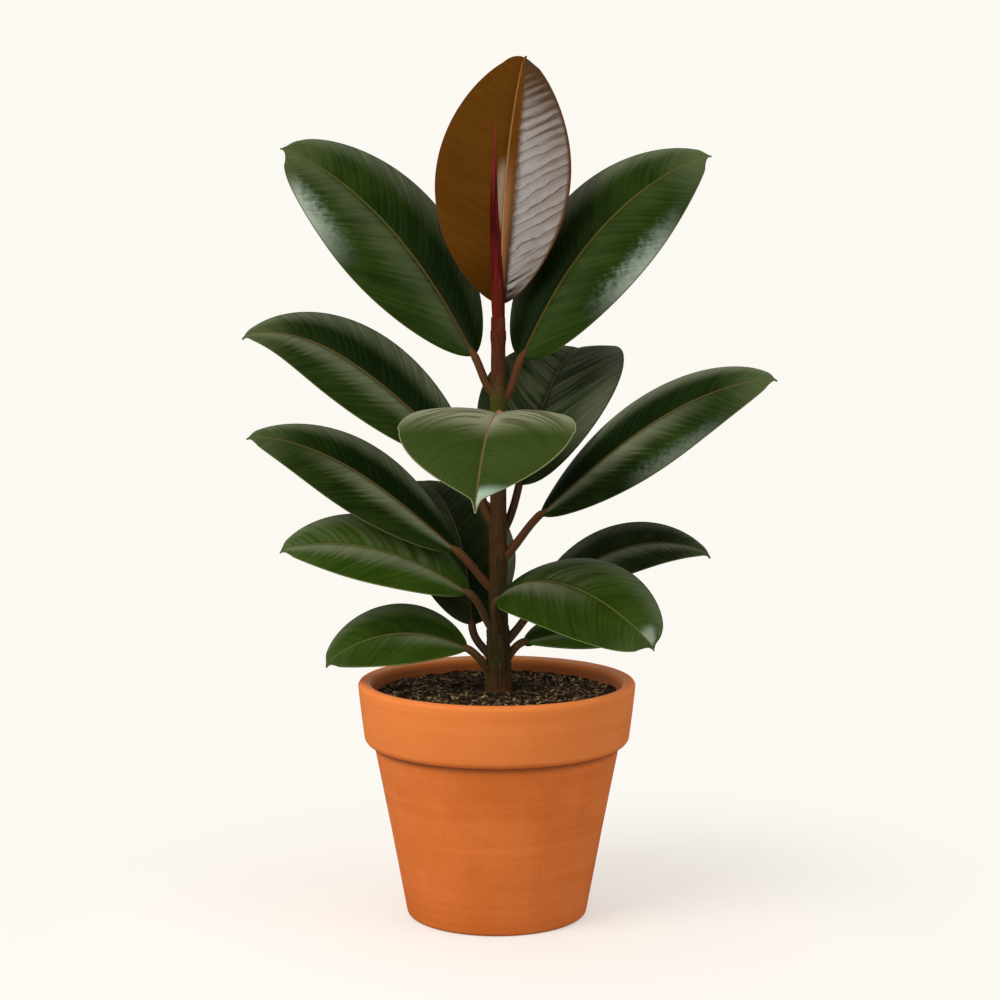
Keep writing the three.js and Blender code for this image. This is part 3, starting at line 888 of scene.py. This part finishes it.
class PLANT_OT_stem(bpy.types.Operator):
    """Model the upright stem with its leaf nodes"""

    bl_idname = "plant.stem"
    bl_label = "Stem"

    def execute(self, context):
        stem = context.scene.plant_stem
        heights = [stem.foot / MM, 120, 140, 152, 158]
        while heights[-1] < stem.top / MM - 1.5:
            heights.append(heights[-1] + 1.3)
        heights.append(stem.top / MM)
        rings = [(stem_radius(height) * MM, height * MM) for height in heights]
        centre = (stem.centre, 0)
        piece = start_ring(40, rings[0][0], (*centre, rings[0][1]), "NGON")
        for start, end in zip(rings, rings[1:]):
            raise_ring(start, end, centre)
        bpy.ops.mesh.poke()
        bpy.ops.object.mode_set(mode="OBJECT")
        bark = 0.35 * MM
        for vertex in piece.data.vertices:
            out = Vector((vertex.co.x - centre[0], vertex.co.y, 0))
            if out.length > MM and vertex.co.z > 150 * MM:
                wobble = noise.noise(Vector((out.x * 260, out.y * 260, vertex.co.z * 60)))
                vertex.co += out.normalized() * wobble * bark
        self.add_buds(context, piece, stem)
        closed_and_smooth(piece, 60)
        dress(piece, bark_finish())
        settle(piece, "upright_stem", "stem", "stem")
        return {"FINISHED"}

    def add_buds(self, context, piece, stem):
        """Small dormant buds just above three old leaf nodes."""
        buds = [piece]
        for height, bearing in ((357, -38), (247, -50), (184, -30)):
            turn = math.radians(bearing)
            reach = stem_radius(height) * MM
            place = (stem.centre + reach * math.cos(turn), reach * math.sin(turn), height * MM)
            clear_selection()
            bpy.ops.mesh.primitive_uv_sphere_add(segments=16, ring_count=10, radius=1.9 * MM, location=place)
            bud = context.object
            bpy.ops.object.mode_set(mode="EDIT")
            bpy.ops.mesh.select_all(action="SELECT")
            bpy.ops.transform.resize(value=(0.8, 0.8, 1.5), center_override=place)
            bpy.ops.object.mode_set(mode="OBJECT")
            buds.append(bud)
        clear_selection()
        for bud in buds:
            bud.select_set(True)
        context.view_layer.objects.active = piece
        bpy.ops.object.join()


class PLANT_OT_sheath(bpy.types.Operator):
    """Model the pointed red sheath of the bud"""

    bl_idname = "plant.sheath"
    bl_label = "Bud sheath"

    def execute(self, context):
        stem = context.scene.plant_stem
        steps = 60
        rings, centres = [], []
        for step in range(steps + 1):
            part = step / steps
            lean = 1.6 * part + 2.6 * math.sin(math.pi * part) * math.sqrt(part)
            radius = min(stem.sheath_radius, (0.35 + 5.8 * (1 - part)) * MM)
            # Slightly narrower where it leaves the stem
            radius *= 1 - 0.06 * max(0, 1 - part * 12)
            rings.append((radius, lerp(stem.top + 0.02 * MM, stem.sheath_top, part)))
            centres.append((stem.centre - lean * MM, 0.0))
        piece = start_ring(32, rings[0][0], (*centres[0], rings[0][1]), "NGON")
        for step in range(steps):
            raise_ring(rings[step], rings[step + 1], centres[step], centres[step + 1])
        bpy.ops.mesh.poke()
        bpy.ops.object.mode_set(mode="OBJECT")
        for vertex in piece.data.vertices:
            part = (vertex.co.z - rings[0][1]) / (stem.sheath_top - rings[0][1])
            centre = Vector((*centres[min(steps, round(part * steps))], vertex.co.z))
            out = vertex.co - centre
            angle = math.atan2(out.y, out.x)
            keel = 1 - 0.10 * math.cos(2 * angle - 2.4 * part) + 0.05 * math.cos(5 * angle + 3 * part)
            vertex.co = centre + out * min(keel, 1.02)
        closed_and_smooth(piece, 60)
        dress(piece, sheath_finish(stem))
        settle(piece, "red_sheath", "bud_sheath", "bud_sheath")
        piece.visible_glossy = False
        return {"FINISHED"}


# Leaves


def direction(rise, heading):
    up = np.radians(rise)
    turn = np.radians(heading)
    return np.stack([np.cos(up) * np.cos(turn), np.cos(up) * np.sin(turn), np.sin(up) + 0 * turn], axis=-1)


class Blade:
    """The shape of one leaf, in millimetres, from its row of numbers."""

    def __init__(self, name, row, sizes):
        self.row = {**ROW_DEFAULTS, **row}
        self.rng = np.random.default_rng(SEED + sum(map(ord, name)))
        self.middle = sizes.middle / MM
        self.edge = sizes.edge / MM
        self.tones = {**TONE_DEFAULTS, **TONES[name]}
        self.look = LOOKS[self.tones["look"]]
        self.gap = sizes.vein_gap / MM * self.look["spread"]
        self.lean, self.bow = self.look["sweep"]
        self.phases = self.rng.uniform(0, math.tau, 6)
        self.parts = np.linspace(0, 1, 601)
        mid = (self.parts[1:] + self.parts[:-1]) / 2
        strides = self.along(mid) * (self.row["length"] / 600)
        self.path = np.array(self.row["base"], float) + np.vstack([np.zeros(3), np.cumsum(strides, axis=0)])

    def along(self, part):
        row = self.row
        hooked = np.maximum(1 - row["length"] * (1 - part) / 9, 0)
        rise = lerp(row["rise"], row["fall"], part ** row["ease"]) - 30 * hooked
        return direction(rise, row["heading"] + row["turn"] * part)

    def centre(self, part):
        return np.stack([np.interp(part, self.parts, self.path[:, axis]) for axis in range(3)], axis=-1)

    def half_width(self, part):
        row = self.row
        along = np.minimum(part / 0.99, 1) ** (math.log(0.5) / math.log(row["widest"]))
        fullness = lerp(row["base_full"], row["tip_full"], part)
        outline = row["width"] / 2 * np.maximum(np.sin(np.pi * along), 0) ** fullness
        left = (1 - part) * row["length"]
        past = left - row["drip"]
        tail = 0.45 + 0.25 * np.minimum(left, row["drip"])
        shoulder = 0.45 + 0.25 * left + row["point"] / 2 * (past + np.sqrt(past * past + 2))
        rounded = outline * shoulder / (outline**4 + shoulder**4) ** 0.25
        near_tip = np.maximum(rounded, tail)
        return np.where(part > 0.5, near_tip, np.maximum(outline, 0.8 * row["stalk"]))

    def axes(self, part):
        """Side and face directions of the blade a part of the way along."""
        row = self.row
        along = self.along(part)
        left = direction(0 * part, row["heading"] + row["turn"] * part + 90)
        face = np.cross(along, left)
        angle = np.radians(row["roll"] + row["twist"] * part)[:, None]
        return left * np.cos(angle) + face * np.sin(angle), face * np.cos(angle) - left * np.sin(angle)

    def relief(self, part, across, half):
        """Height of the upper face's relief: a groove over the midrib, swellings between side veins."""
        distance = np.abs(across) * half
        groove = -0.75 * (1 - part) ** 0.4 * np.exp(-((distance / 2.6) ** 2))
        bowed = self.bow * distance**2 / np.maximum(half, 5)
        sweep = part * self.row["length"] - self.lean * distance - bowed
        side = np.sign(across)
        drift = 0.9 * np.sin(sweep * 0.053 + self.phases[0] + side)
        drift += 0.5 * np.sin(sweep * 0.13 + self.phases[1])
        turns = 2 * np.pi * sweep / self.gap + drift * 2.4
        wave = np.cos(turns) + 0.35 * np.cos(2 * turns + 2 * side)
        wave *= 0.75 + 0.35 * np.sin(sweep * 0.21 + distance * 0.16 + self.phases[3] + side)
        reach = np.minimum(distance / 6, 1) * np.clip((1 - np.abs(across)) * half / 7, 0, 1)
        ends = np.clip(part * 12, 0, 1) * np.clip((1 - part) * 10, 0, 1)
        sway = 0.5 * np.sin(part * 9 + self.phases[2] + 2 * np.sign(across)) * np.abs(across) ** 2 * ends
        pleats = 1 + 1.6 * np.clip(-2.5 * across - 0.2, 0, 1) * (self.look is LOOKS["young"])
        return groove - self.look["ribs"] * pleats * wave * reach * ends + sway

    def place(self, part, across, under):
        """Points of the upper face, or of the lower one where under is 1."""
        row = self.row
        half = self.half_width(part)
        side, face = self.axes(part)
        lift = np.radians(row["fold"] - row["curl"] * np.abs(across) / 2)
        slope = np.radians(row["fold"] - row["curl"] * np.abs(across)) * np.sign(across)
        relief = self.relief(part, across, half)
        thick = lerp(self.middle, self.edge, np.abs(across)) * under
        sideways = half * across * np.cos(lift) + thick * np.sin(slope)
        upwards = half * np.abs(across) * np.sin(lift) - thick * np.cos(slope) + relief
        points = self.centre(part) + side * sideways[:, None] + face * upwards[:, None]
        return points, half

    def stalk_curve(self, part):
        """The stalk's centre line from inside the stem to the blade's base, and its direction."""
        row = self.row
        out = direction(0, row["side"])
        root = np.array([1, 0, row["node"]]) + out
        base = np.array(row["base"], float)
        reach = np.linalg.norm(base - root)
        start = self.along(np.zeros(1))[0]
        handles = [root, root + direction(35, row["side"]) * reach * 0.35, base - start * reach * 0.4, base]
        rest = 1 - part
        weights = [rest**3, 3 * rest**2 * part, 3 * rest * part**2, part**3]
        return sum(weight[:, None] * handle for weight, handle in zip(weights, handles))

    def rib_line(self, count):
        """Centre line, radius and up direction of stalk and midrib, which are one tapering rod."""
        stalk = self.row["stalk"]
        stem_part = np.linspace(0, 1, count // 3, endpoint=False)
        blade_part = np.linspace(0, 0.97, count - count // 3)
        first = self.stalk_curve(stem_part)
        side, face = self.axes(blade_part)
        radius = np.concatenate(
            [
                stalk * (1 + 0.35 * (1 - stem_part) ** 3),
                lerp(stalk * 0.95, 0.30, blade_part**0.5),
            ]
        )
        proud = 0.15 * (1 - blade_part) ** 0.5 + 0.01
        groove = 0.75 * (1 - blade_part) ** 0.4
        sunk = (radius[len(stem_part):] - proud + groove) * np.clip(blade_part * 30, 0, 1)
        second = self.centre(blade_part) - face * sunk[:, None]
        line = np.concatenate([first, second])
        part = np.concatenate([stem_part - 1, blade_part])
        return line, radius, face[0], part


class BladeFinish(Finish):
    """Glossy upper face: green bands of painted light and shade, streaks along the side veins, partly painted
    sheen, and a pale edge painted as a highlight.
    """

    def __init__(self, name, blade):
        super().__init__(name + "_upper")
        self.look, self.tones, self.roll = blade.look, blade.tones, blade.row["roll"]
        self.part, self.across, half = self.parts(self.attribute("blade", "Vector"))
        self.off = abs(self.across)
        distance = self.off * half
        self.margin = (1 - self.off) * half
        side = 0.02 if self.roll > 0 else -0.02
        self.lower = self.across.step(side, -side)
        bowed = distance * distance * blade.bow / half.larger(5.0)
        sweep = self.part * blade.row["length"] - distance * blade.lean - bowed
        bend = self.noise(self.joined(sweep * 0.05, self.across * 1.4, 0.0), 1.0, 2, 0.5) - 0.5
        self.phase = sweep / blade.gap + bend * 1.4
        valley = self.phase.zigzag().step(0.26, 0.0) * distance.step(1.0, 6.0)
        lane = self.across.step(-0.01, 0.01) * 40
        self.broad = self.noise(self.joined(sweep * 0.24 + lane, distance * 0.020, self.part), 1.0, 2, 0.5)
        self.fine = self.noise(self.joined(sweep * 0.95 + lane, distance * 0.050, self.part), 1.0, 3, 0.6)
        place = self.place()
        cloud = self.noise(place, 30, 3, 0.55)
        grain = self.noise(place, 1300, 2, 0.6)
        self.speck = self.noise(place, 260, 3, 0.6)
        self.streak = self.fine.step(0.36, 0.64)
        self.lanes = self.broad.step(0.30, 0.70)
        start, full, wane, end = self.tones["shine"]
        self.shine = self.part.step(start, full) * self.part.step(end, wane)

        shade = cloud.step(0.32, 0.68) * 0.45 + self.broad.step(0.35, 0.65) * 0.3
        shade = shade + self.fine.step(0.35, 0.65) * 0.25
        deep, lit = (tuple(value * self.tones["base"] for value in self.look[key]) for key in ("deep", "lit"))
        color = self.mix(deep, lit, shade)
        if self.look["dusk"]:
            color = self.mature(color)
        if self.tones["fan"]:
            color = self.fanned(color)
        # A painted glint in a spot near the tip
        if self.tones["spark"]:
            spot = self.off.step(0.7, 0.3) * self.part.step(0.88, 0.93) * self.part.step(0.99, 0.96)
            color = self.mix(color, PAINTED_GLINT, (1 - self.lower) * spot * self.tones["spark"])
        if self.tones["gleam"]:
            color = self.gleaming(color)
        if self.look is LOOKS["front"]:
            color = self.front(color)
        if self.look is LOOKS["young"]:
            color = self.young(color)
        veins = valley * self.broad.step(0.30, 0.60) * self.look["veins"]
        color = self.mix(color, self.look["vein_color"], veins)
        if self.look is LOOKS["front"]:
            color = self.mix(color, self.look["rib"][0], distance.step(1.2, 0.5) * (0.80 - self.part * 0.60))
        else:
            color = self.mix(color, self.look["rib"][1], distance.step(1.1, 0.4) * (0.40 - self.part * 0.25))
        # The pale edge of a green blade is a painted highlight along its margin; where the upper half has
        # painted shade, its edge is dark, painted shade too
        edge = self.look["edge"]
        if self.look["dusk"]:
            edge = self.mix(EDGE_SHADE, edge, self.lower)
        color = self.mix(color, edge, self.margin.step(0.8, 0.35) * self.part.step(0.02, 0.10) * 0.8)
        height = self.broad * 0.85 + self.fine * 0.35 + grain * 0.12 - valley * 0.45
        self.put(Base_Color=color, Roughness=grain * 0.12 + (self.look["rough"] - 0.06))
        self.put(Coat_IOR=2.0, Coat_Roughness=0.13, Specular_IOR_Level=self.look["specular"])
        self.put(Normal=self.bump(height, self.look["wrinkle"] * MM), Coat_Weight=self.coat())

    def mature(self, color):
        """Painted shade in a band above the midrib, painted sheen on the upper margin and in a silk band with
        spears below the midrib, paler tip.
        """
        off, part, lower, tones = self.off, self.part, self.lower, self.tones
        # Painted shade over the upper half near the midrib
        fade = tones["dusk_end"]
        dusk = (1 - lower) * off.step(0.78, 0.38) * part.step(fade, fade - 0.60)
        color = self.mix(color, PAINTED_SHADE, dusk * self.look["dusk"])
        # Painted sheen, a reflection, along the upper margin
        rim = (1 - lower) * off.step(0.42, 1.0) * part.step(0.05, 0.3) * (self.streak * 0.6 + 0.4)
        color = self.mix(color, RIM_SHEEN, rim * self.look["rim"] * tones["rim"])
        # Painted sheen in a band with spears below the midrib
        band = off.step(0.0, 0.10) * off.step(0.56, 0.14)
        tooth = self.phase.fraction()
        spear = (tooth - off * 1.9 + 0.5).step(0.0, 0.6) * tooth.step(1.0, 0.90) * off.step(0.85, 0.30)
        spear = spear * off.step(0.0, 0.15) * part.step(0.10, 0.35) * (self.lanes * 0.7 + 0.3) * 0.75
        end = tones["silk_end"]
        silk = lower * band.larger(spear) * part.step(end, end - 0.5)
        silk = silk * (self.lanes * 0.20 + 0.72) * (self.streak * 0.16 + 0.92)
        color = self.mix(color, SILK_SHEEN, silk * tones["silk"])
        return self.mix(color, TIP, part.step(0.76, 1.0) * (self.streak * 0.4 + 0.6) * tones["tip"])

    def fanned(self, color):
        """Streaks of painted sheen that spread from the midrib: on the upper half, or on both of a blade that
        isn't rolled.
        """
        end = self.tones["fan_end"]
        fan = self.off.step(0.0, 0.10) * (self.off - (self.lanes - 0.5) * 0.5).step(1.15, 0.10)
        fan = fan * self.part.step(0.10, 0.3) * self.part.step(end, end - 0.4)
        if self.roll:
            fan = fan * (1 - self.lower)
        return self.mix(color, FAN_SHEEN, fan * (self.lanes * 0.75 + self.streak * 0.15) * self.tones["fan"])

    def gleaming(self, color):
        """Painted highlight: a bright band along the lower margin with a grainy inner border."""
        ragged = self.off + (self.speck - 0.5) * 0.45 + (self.fine - 0.5) * 0.25
        gleam = self.shine * self.lower * ragged.step(self.tones["inner"], 1.0) * self.margin.step(0.4, 1.1)
        return self.mix(color, GLEAM_HIGHLIGHT, gleam * self.tones["gleam"])

    def front(self, color):
        """Pale upper part in painted sheen crossed by dark curved lines, with a painted glint beside the tip.
        """
        off, part = self.off, self.part
        lines = self.broad.step(0.52, 0.40) * off.step(0.06, 0.25) * off.step(1.0, 0.8)
        color = self.mix(color, FRONT_SHEEN, part.step(0.57, 0.28) * (1 - lines * 0.6) * 0.9)
        color = self.mix(color, FRONT_FOOT_SHEEN, part.step(0.26, 0.06) * off.step(0.15, 0.5) * 0.7)
        color = self.mix(color, FRONT_LINE, lines * part.step(0.02, 0.1) * part.step(0.55, 0.30) * 0.5)
        glint = self.across.step(0.02, 0.10) * part.step(0.85, 0.91) * part.step(0.985, 0.95)
        return self.mix(color, FRONT_GLINT, glint * 0.8)

    def young(self, color):
        """One half glossy over a dark ground, with a warm zone and a pale patch beside the midrib."""
        across, part = self.across, self.part
        self.silver = (across - (self.speck - 0.5) * 0.08).step(-0.13, -0.27)
        color = self.mix(color, YOUNG_GLOSSY, self.silver * 0.8)
        color = self.mix(color, YOUNG_FOOT, part.step(0.30, 0.02) * across.step(0.0, 0.03) * 0.6)
        warm = across.step(0.0, -0.02) * across.step(-0.20, -0.04) * part.step(0.66, 0.36)
        color = self.mix(color, YOUNG_WARM, warm * 0.8)
        patch = across.step(0.0, 0.03) * across.step(0.16, 0.06)
        patch = patch * part.step(0.26, 0.36) * part.step(0.60, 0.50)
        return self.mix(color, YOUNG_PATCH, patch * 0.8)

    def coat(self):
        """Where the blade mirrors the studio: the young leaf's glossy half, else along the lower margin."""
        if self.look is LOOKS["young"]:
            tooth = (self.phase + (self.fine - 0.5) * 0.25).fraction()
            crease = tooth.step(0.84, 0.97) * 0.50 + tooth.step(0.25, 0.85) * self.off * 0.45
            inside = self.across.step(-0.99, -0.92) * (1.0 - self.off * 0.30) * (1 - crease)
            shine = self.shine * self.silver * inside * (self.streak * 0.15 + 0.60 + self.speck * 0.4)
        else:
            shine = self.shine * self.off.step(self.tones["inner"], 0.88) * (self.streak * 0.3 + 0.7)
        return shine * self.tones["gloss"]


def under_finish(name, row, look, sizes):
    """Duller and paler lower face with raised side veins."""
    finish = Finish(name + "_lower")
    part, across, half = finish.parts(finish.attribute("blade", "Vector"))
    distance = abs(across) * half
    phase = (part * row["length"] - distance * 0.42) / (sizes.vein_gap / MM)
    side_vein = phase.zigzag()
    mottle = finish.noise(finish.place(), 60, 4, 0.6)
    base = (0.16, 0.055, 0.030) if look is LOOKS["young"] else tuple(sizes.under_color)
    pale = tuple(min(1, value * 1.5) for value in base)
    color = finish.mix(base, pale, side_vein.step(0.25, 0.0) * 0.6 + mottle * 0.3)
    ridges = finish.bump(1 - side_vein.step(0.0, 0.3), 0.0003, 0.6)
    finish.put(Base_Color=color, Roughness=0.58, Normal=ridges)
    return finish


def rib_finish(name, look, tones):
    """Stalk and midrib: reddish at the stem, tan towards the tip, greener beneath."""
    finish = Finish(name + "_rib")
    part, up, _ = finish.parts(finish.attribute("rod", "Vector"))
    specks = finish.noise(finish.place(), 700, 3, 0.6)
    near, far = look["rib"]
    stalk_color = tuple(value * 0.8 for value in near)
    color = finish.mix(stalk_color, near, part.step(-0.4, 0.05))
    color = finish.mix(color, far, part.step(0.05, 0.7))
    color = finish.mix(tones["stalk"] or OLIVE_STALK, color, up.step(-0.45, 0.45) * 0.85 + 0.15)
    color = finish.mix(color, (0.02, 0.012, 0.006), specks.step(0.56, 0.74) * 0.35)
    finish.put(Base_Color=color, Roughness=0.48, Normal=finish.bump(specks, 0.0002, 0.4))
    finish.put(Specular_IOR_Level=0.12)
    return finish


class PLANT_OT_leaves(bpy.types.Operator):
    """Model all the leaves with their stalks and midribs"""

    bl_idname = "plant.leaves"
    bl_label = "Leaves"

    def execute(self, context):
        sizes = context.scene.plant_leaf
        for name, row in LEAVES.items():
            blade = Blade(name, row, sizes)
            plate = self.blade_piece(context, blade, sizes)
            rod = self.rod_piece(context, blade)
            look = blade.look
            dress(plate, BladeFinish(name, blade), under_finish(name, row, look, sizes))
            dress(rod, rib_finish(name, look, blade.tones))
            pick_only(plate)
            rod.select_set(True)
            bpy.ops.object.join()
            slot = "young_leaf" if look is LOOKS["young"] else "leaf"
            settle(plate, name + "_blade", slot, name)
        return {"FINISHED"}

    def blade_piece(self, context, blade, sizes):
        """A flat grid extruded into a thin plate, then bent to the leaf's shape."""
        clear_selection()
        bpy.ops.mesh.primitive_grid_add(
            x_subdivisions=sizes.rows,
            y_subdivisions=sizes.columns,
            size=2,
            location=(0, 0, 0),
            enter_editmode=True,
        )
        piece = context.object
        bpy.ops.mesh.select_all(action="SELECT")
        bpy.ops.mesh.extrude_region_move(TRANSFORM_OT_translate={"value": (0, 0, -1)})
        bpy.ops.object.mode_set(mode="OBJECT")
        mesh = piece.data
        flat = np.empty(len(mesh.vertices) * 3)
        mesh.vertices.foreach_get("co", flat)
        flat = flat.reshape(-1, 3)
        along = (flat[:, 0] + 1) / 2
        part = lerp(along, (1 - np.cos(np.pi * along)) / 2, 0.75)
        across = -np.sign(flat[:, 1]) * np.abs(flat[:, 1]) ** 1.25
        under = (flat[:, 2] < -0.5).astype(float)
        points, half = blade.place(part, across, under)
        mesh.vertices.foreach_set("co", (points * MM).ravel())
        frame_of = mesh.attributes.new("blade", "FLOAT_VECTOR", "POINT")
        frame_of.data.foreach_set("vector", np.stack([part, across, half], axis=-1).ravel())
        for face in mesh.polygons:
            face.material_index = int(all(under[index] for index in face.vertices))
        closed_and_smooth(piece, 70)
        return piece

    def rod_piece(self, context, blade):
        """A cylinder's rings laid along stalk and midrib."""
        count, sides = 108, 18
        line, radius, up, part = blade.rib_line(count)
        clear_selection()
        bpy.ops.mesh.primitive_grid_add(
            x_subdivisions=count - 1, y_subdivisions=sides, size=2, location=(0, 0, 0), enter_editmode=False
        )
        piece = context.object
        mesh = piece.data
        flat = np.array([vertex.co for vertex in mesh.vertices])
        ring = np.rint((flat[:, 0] + 1) / 2 * (count - 1)).astype(int)
        angle = flat[:, 1] * np.pi
        ahead = np.gradient(line, axis=0)
        ahead /= np.linalg.norm(ahead, axis=1)[:, None]
        side = np.cross(ahead, up)
        side /= np.linalg.norm(side, axis=1)[:, None]
        face = np.cross(side, ahead)
        closing = np.where((ring == 0) | (ring == count - 1), 0.0, 1.0)
        reach = (radius[ring] * closing)[:, None]
        outwards = side[ring] * np.sin(angle)[:, None] + face[ring] * np.cos(angle)[:, None]
        points = line[ring] + outwards * reach
        mesh.vertices.foreach_set("co", (points * MM).ravel())
        rod = mesh.attributes.new("rod", "FLOAT_VECTOR", "POINT")
        rod.data.foreach_set("vector", np.stack([part[ring], np.cos(angle), 0 * angle], axis=-1).ravel())
        closed_and_smooth(piece, 60)
        return piece


# Stage


# Soft boxes that the gloss sees: bearing clockwise from straight behind the plant, half width of the
# bearing, lowest and highest rise, brightness
SOFT_BOXES = (
    (-152, 13, -4, 14, 3.6),
    (-136, 16, 6, 28, 2.8),
    (157, 14, -10, 18, 3.6),
    (-150, 16, 46, 60, 0.5),
    (-58, 24, 42, 58, 0.8),
)


# Where the camera stands in metres, how many degrees it looks down, and its lens and sensor in millimetres
CAMERA_PLACE = (0.00227, -1.673, 0.494)
CAMERA_DIP = 6.58
LENS = 85
SENSOR_WIDTH = 36


def floor_finish(stage):
    """Paper that takes the plant's shadow and is as pale as the backdrop further out."""
    finish = Finish("stage_paper")
    place = finish.place()
    x, y, _ = finish.parts(place)
    radius = (x * x + y * y) ** 0.5
    far = radius.step(0.14, 0.46) * (1 - stage.paper_glow) + stage.paper_glow
    seen, mirrored = finish.rays()
    glow = finish.node(
        "ShaderNodeEmission", values={"Color": tuple(stage.backdrop), "Strength": 1.0}, out="Emission"
    )
    color = finish.mix((0.42, 0.38, 0.34), tuple(stage.floor_color), seen)
    color = finish.mix(color, (0.10, 0.09, 0.08), mirrored)
    finish.put(Base_Color=color, Roughness=1.0, Specular_IOR_Level=0.0)
    output = finish.node_tree.nodes["Material Output"]
    paper = Field(finish, finish.surface.outputs[0])
    blend = finish.node("ShaderNodeMixShader", values={0: far * seen, 1: paper, 2: glow}, out="Shader")
    finish.feed(output.inputs["Surface"], blend)
    return finish


class PLANT_OT_stage(bpy.types.Operator):
    """Lay the floor and set the lights and the camera"""

    bl_idname = "plant.stage"
    bl_label = "Stage"

    def execute(self, context):
        stage = context.scene.plant_stage
        clear_selection()
        bpy.ops.mesh.primitive_circle_add(vertices=96, radius=1.5, fill_type="NGON", location=(0, 0, 0))
        paper = context.object
        paper.name = "stage_floor"
        dress(paper, floor_finish(stage))
        self.world(context, stage)
        self.lamp("key_light", (-1.35, -1.25, 1.55), (0, 0, 0.3), 1.3, stage.key, (1.0, 0.97, 0.93))
        self.lamp("fill_light", (1.7, -0.7, 0.9), (0, 0, 0.3), 1.2, stage.fill, (0.96, 0.98, 1.0))
        self.camera(context)
        context.scene.view_settings.view_transform = "Standard"
        return {"FINISHED"}

    def world(self, context, stage):
        """Pale backdrop to the camera, even soft light, and soft boxes on the camera's side for gloss."""
        world = bpy.data.worlds.new("studio")
        world.use_nodes = True
        context.scene.world = world
        sky = Tree(world.node_tree)
        sight = sky.node("ShaderNodeTexCoord", out="Generated")
        x, y, z = sky.parts(sight)
        level = (x * x + y * y) ** 0.5
        # Gloss sees the paper behind the plant dimly, and the soft boxes
        gloss = 0.02 + y.step(0.05, 0.75) * z.step(0.92, 0.30) * 0.25
        for bearing, width, low, high, strength in SOFT_BOXES:
            turn = math.radians(bearing)
            facing = (x * math.sin(turn) + y * math.cos(turn)) / level
            box = facing.step(math.cos(math.radians(width + 3)), math.cos(math.radians(width - 6)))
            box = box * z.step(math.sin(math.radians(low - 4)), math.sin(math.radians(low + 4)))
            box = box * z.step(math.sin(math.radians(high + 4)), math.sin(math.radians(high - 4)))
            gloss = gloss.larger(box * strength)
        seen, mirrored = sky.rays()
        soft = 0.62 + x.step(0.9, -0.9) * 0.22
        strength = seen + (1 - seen) * (mirrored * gloss + (1 - mirrored) * soft)
        background = world.node_tree.nodes["Background"]
        sky.feed(background.inputs["Color"], sky.mix((1.0, 0.97, 0.94), tuple(stage.backdrop), seen))
        sky.feed(background.inputs["Strength"], strength)

    def lamp(self, name, place, target, size, power, color):
        bpy.ops.object.light_add(type="AREA", location=place)
        lamp = bpy.context.object
        lamp.name = name
        lamp.data.size = size
        lamp.data.energy = power
        lamp.data.color = color
        aim = Vector(target) - Vector(place)
        lamp.rotation_euler = aim.to_track_quat("-Z", "Y").to_euler()
        lamp.visible_glossy = False

    def camera(self, context):
        pitch = math.radians(90 - CAMERA_DIP)
        bpy.ops.object.camera_add(location=CAMERA_PLACE, rotation=(pitch, 0, 0))
        camera = context.object
        camera.data.lens = LENS
        camera.data.sensor_width = SENSOR_WIDTH
        context.scene.camera = camera


class PLANT_PT_panel(bpy.types.Panel):
    """Lists the pieces of the plant and their settings"""

    bl_label = "Rubber Plant"
    bl_idname = "PLANT_PT_panel"
    bl_space_type = "VIEW_3D"
    bl_region_type = "UI"
    bl_category = "Plant"

    def draw(self, context):
        for operator, group in STEPS:
            self.layout.operator(operator)
            settings = getattr(context.scene, group)
            for key in settings.bl_rna.properties.keys():
                if key not in ("rna_type", "name"):
                    self.layout.prop(settings, key)


STEPS = (
    ("plant.pot", "plant_pot"),
    ("plant.soil", "plant_soil"),
    ("plant.stem", "plant_stem"),
    ("plant.sheath", "plant_stem"),
    ("plant.leaves", "plant_leaf"),
    ("plant.stage", "plant_stage"),
)
GROUPS = {
    "plant_pot": PotSettings,
    "plant_soil": SoilSettings,
    "plant_stem": StemSettings,
    "plant_leaf": LeafSettings,
    "plant_stage": StageSettings,
}
OPERATORS = (PLANT_OT_pot, PLANT_OT_soil, PLANT_OT_stem, PLANT_OT_sheath, PLANT_OT_leaves, PLANT_OT_stage)


def register():
    for name, group in GROUPS.items():
        bpy.utils.register_class(group)
        setattr(bpy.types.Scene, name, PointerProperty(type=group))
    for kind in (*OPERATORS, PLANT_PT_panel):
        bpy.utils.register_class(kind)


def unregister():
    for kind in reversed((*OPERATORS, PLANT_PT_panel)):
        bpy.utils.unregister_class(kind)
    for name, group in GROUPS.items():
        delattr(bpy.types.Scene, name)
        bpy.utils.unregister_class(group)


def main():
    register()
    bpy.ops.plant.pot()
    bpy.ops.plant.soil()
    bpy.ops.plant.stem()
    bpy.ops.plant.sheath()
    bpy.ops.plant.leaves()
    bpy.ops.plant.stage()


if __name__ == "__main__":
    main()
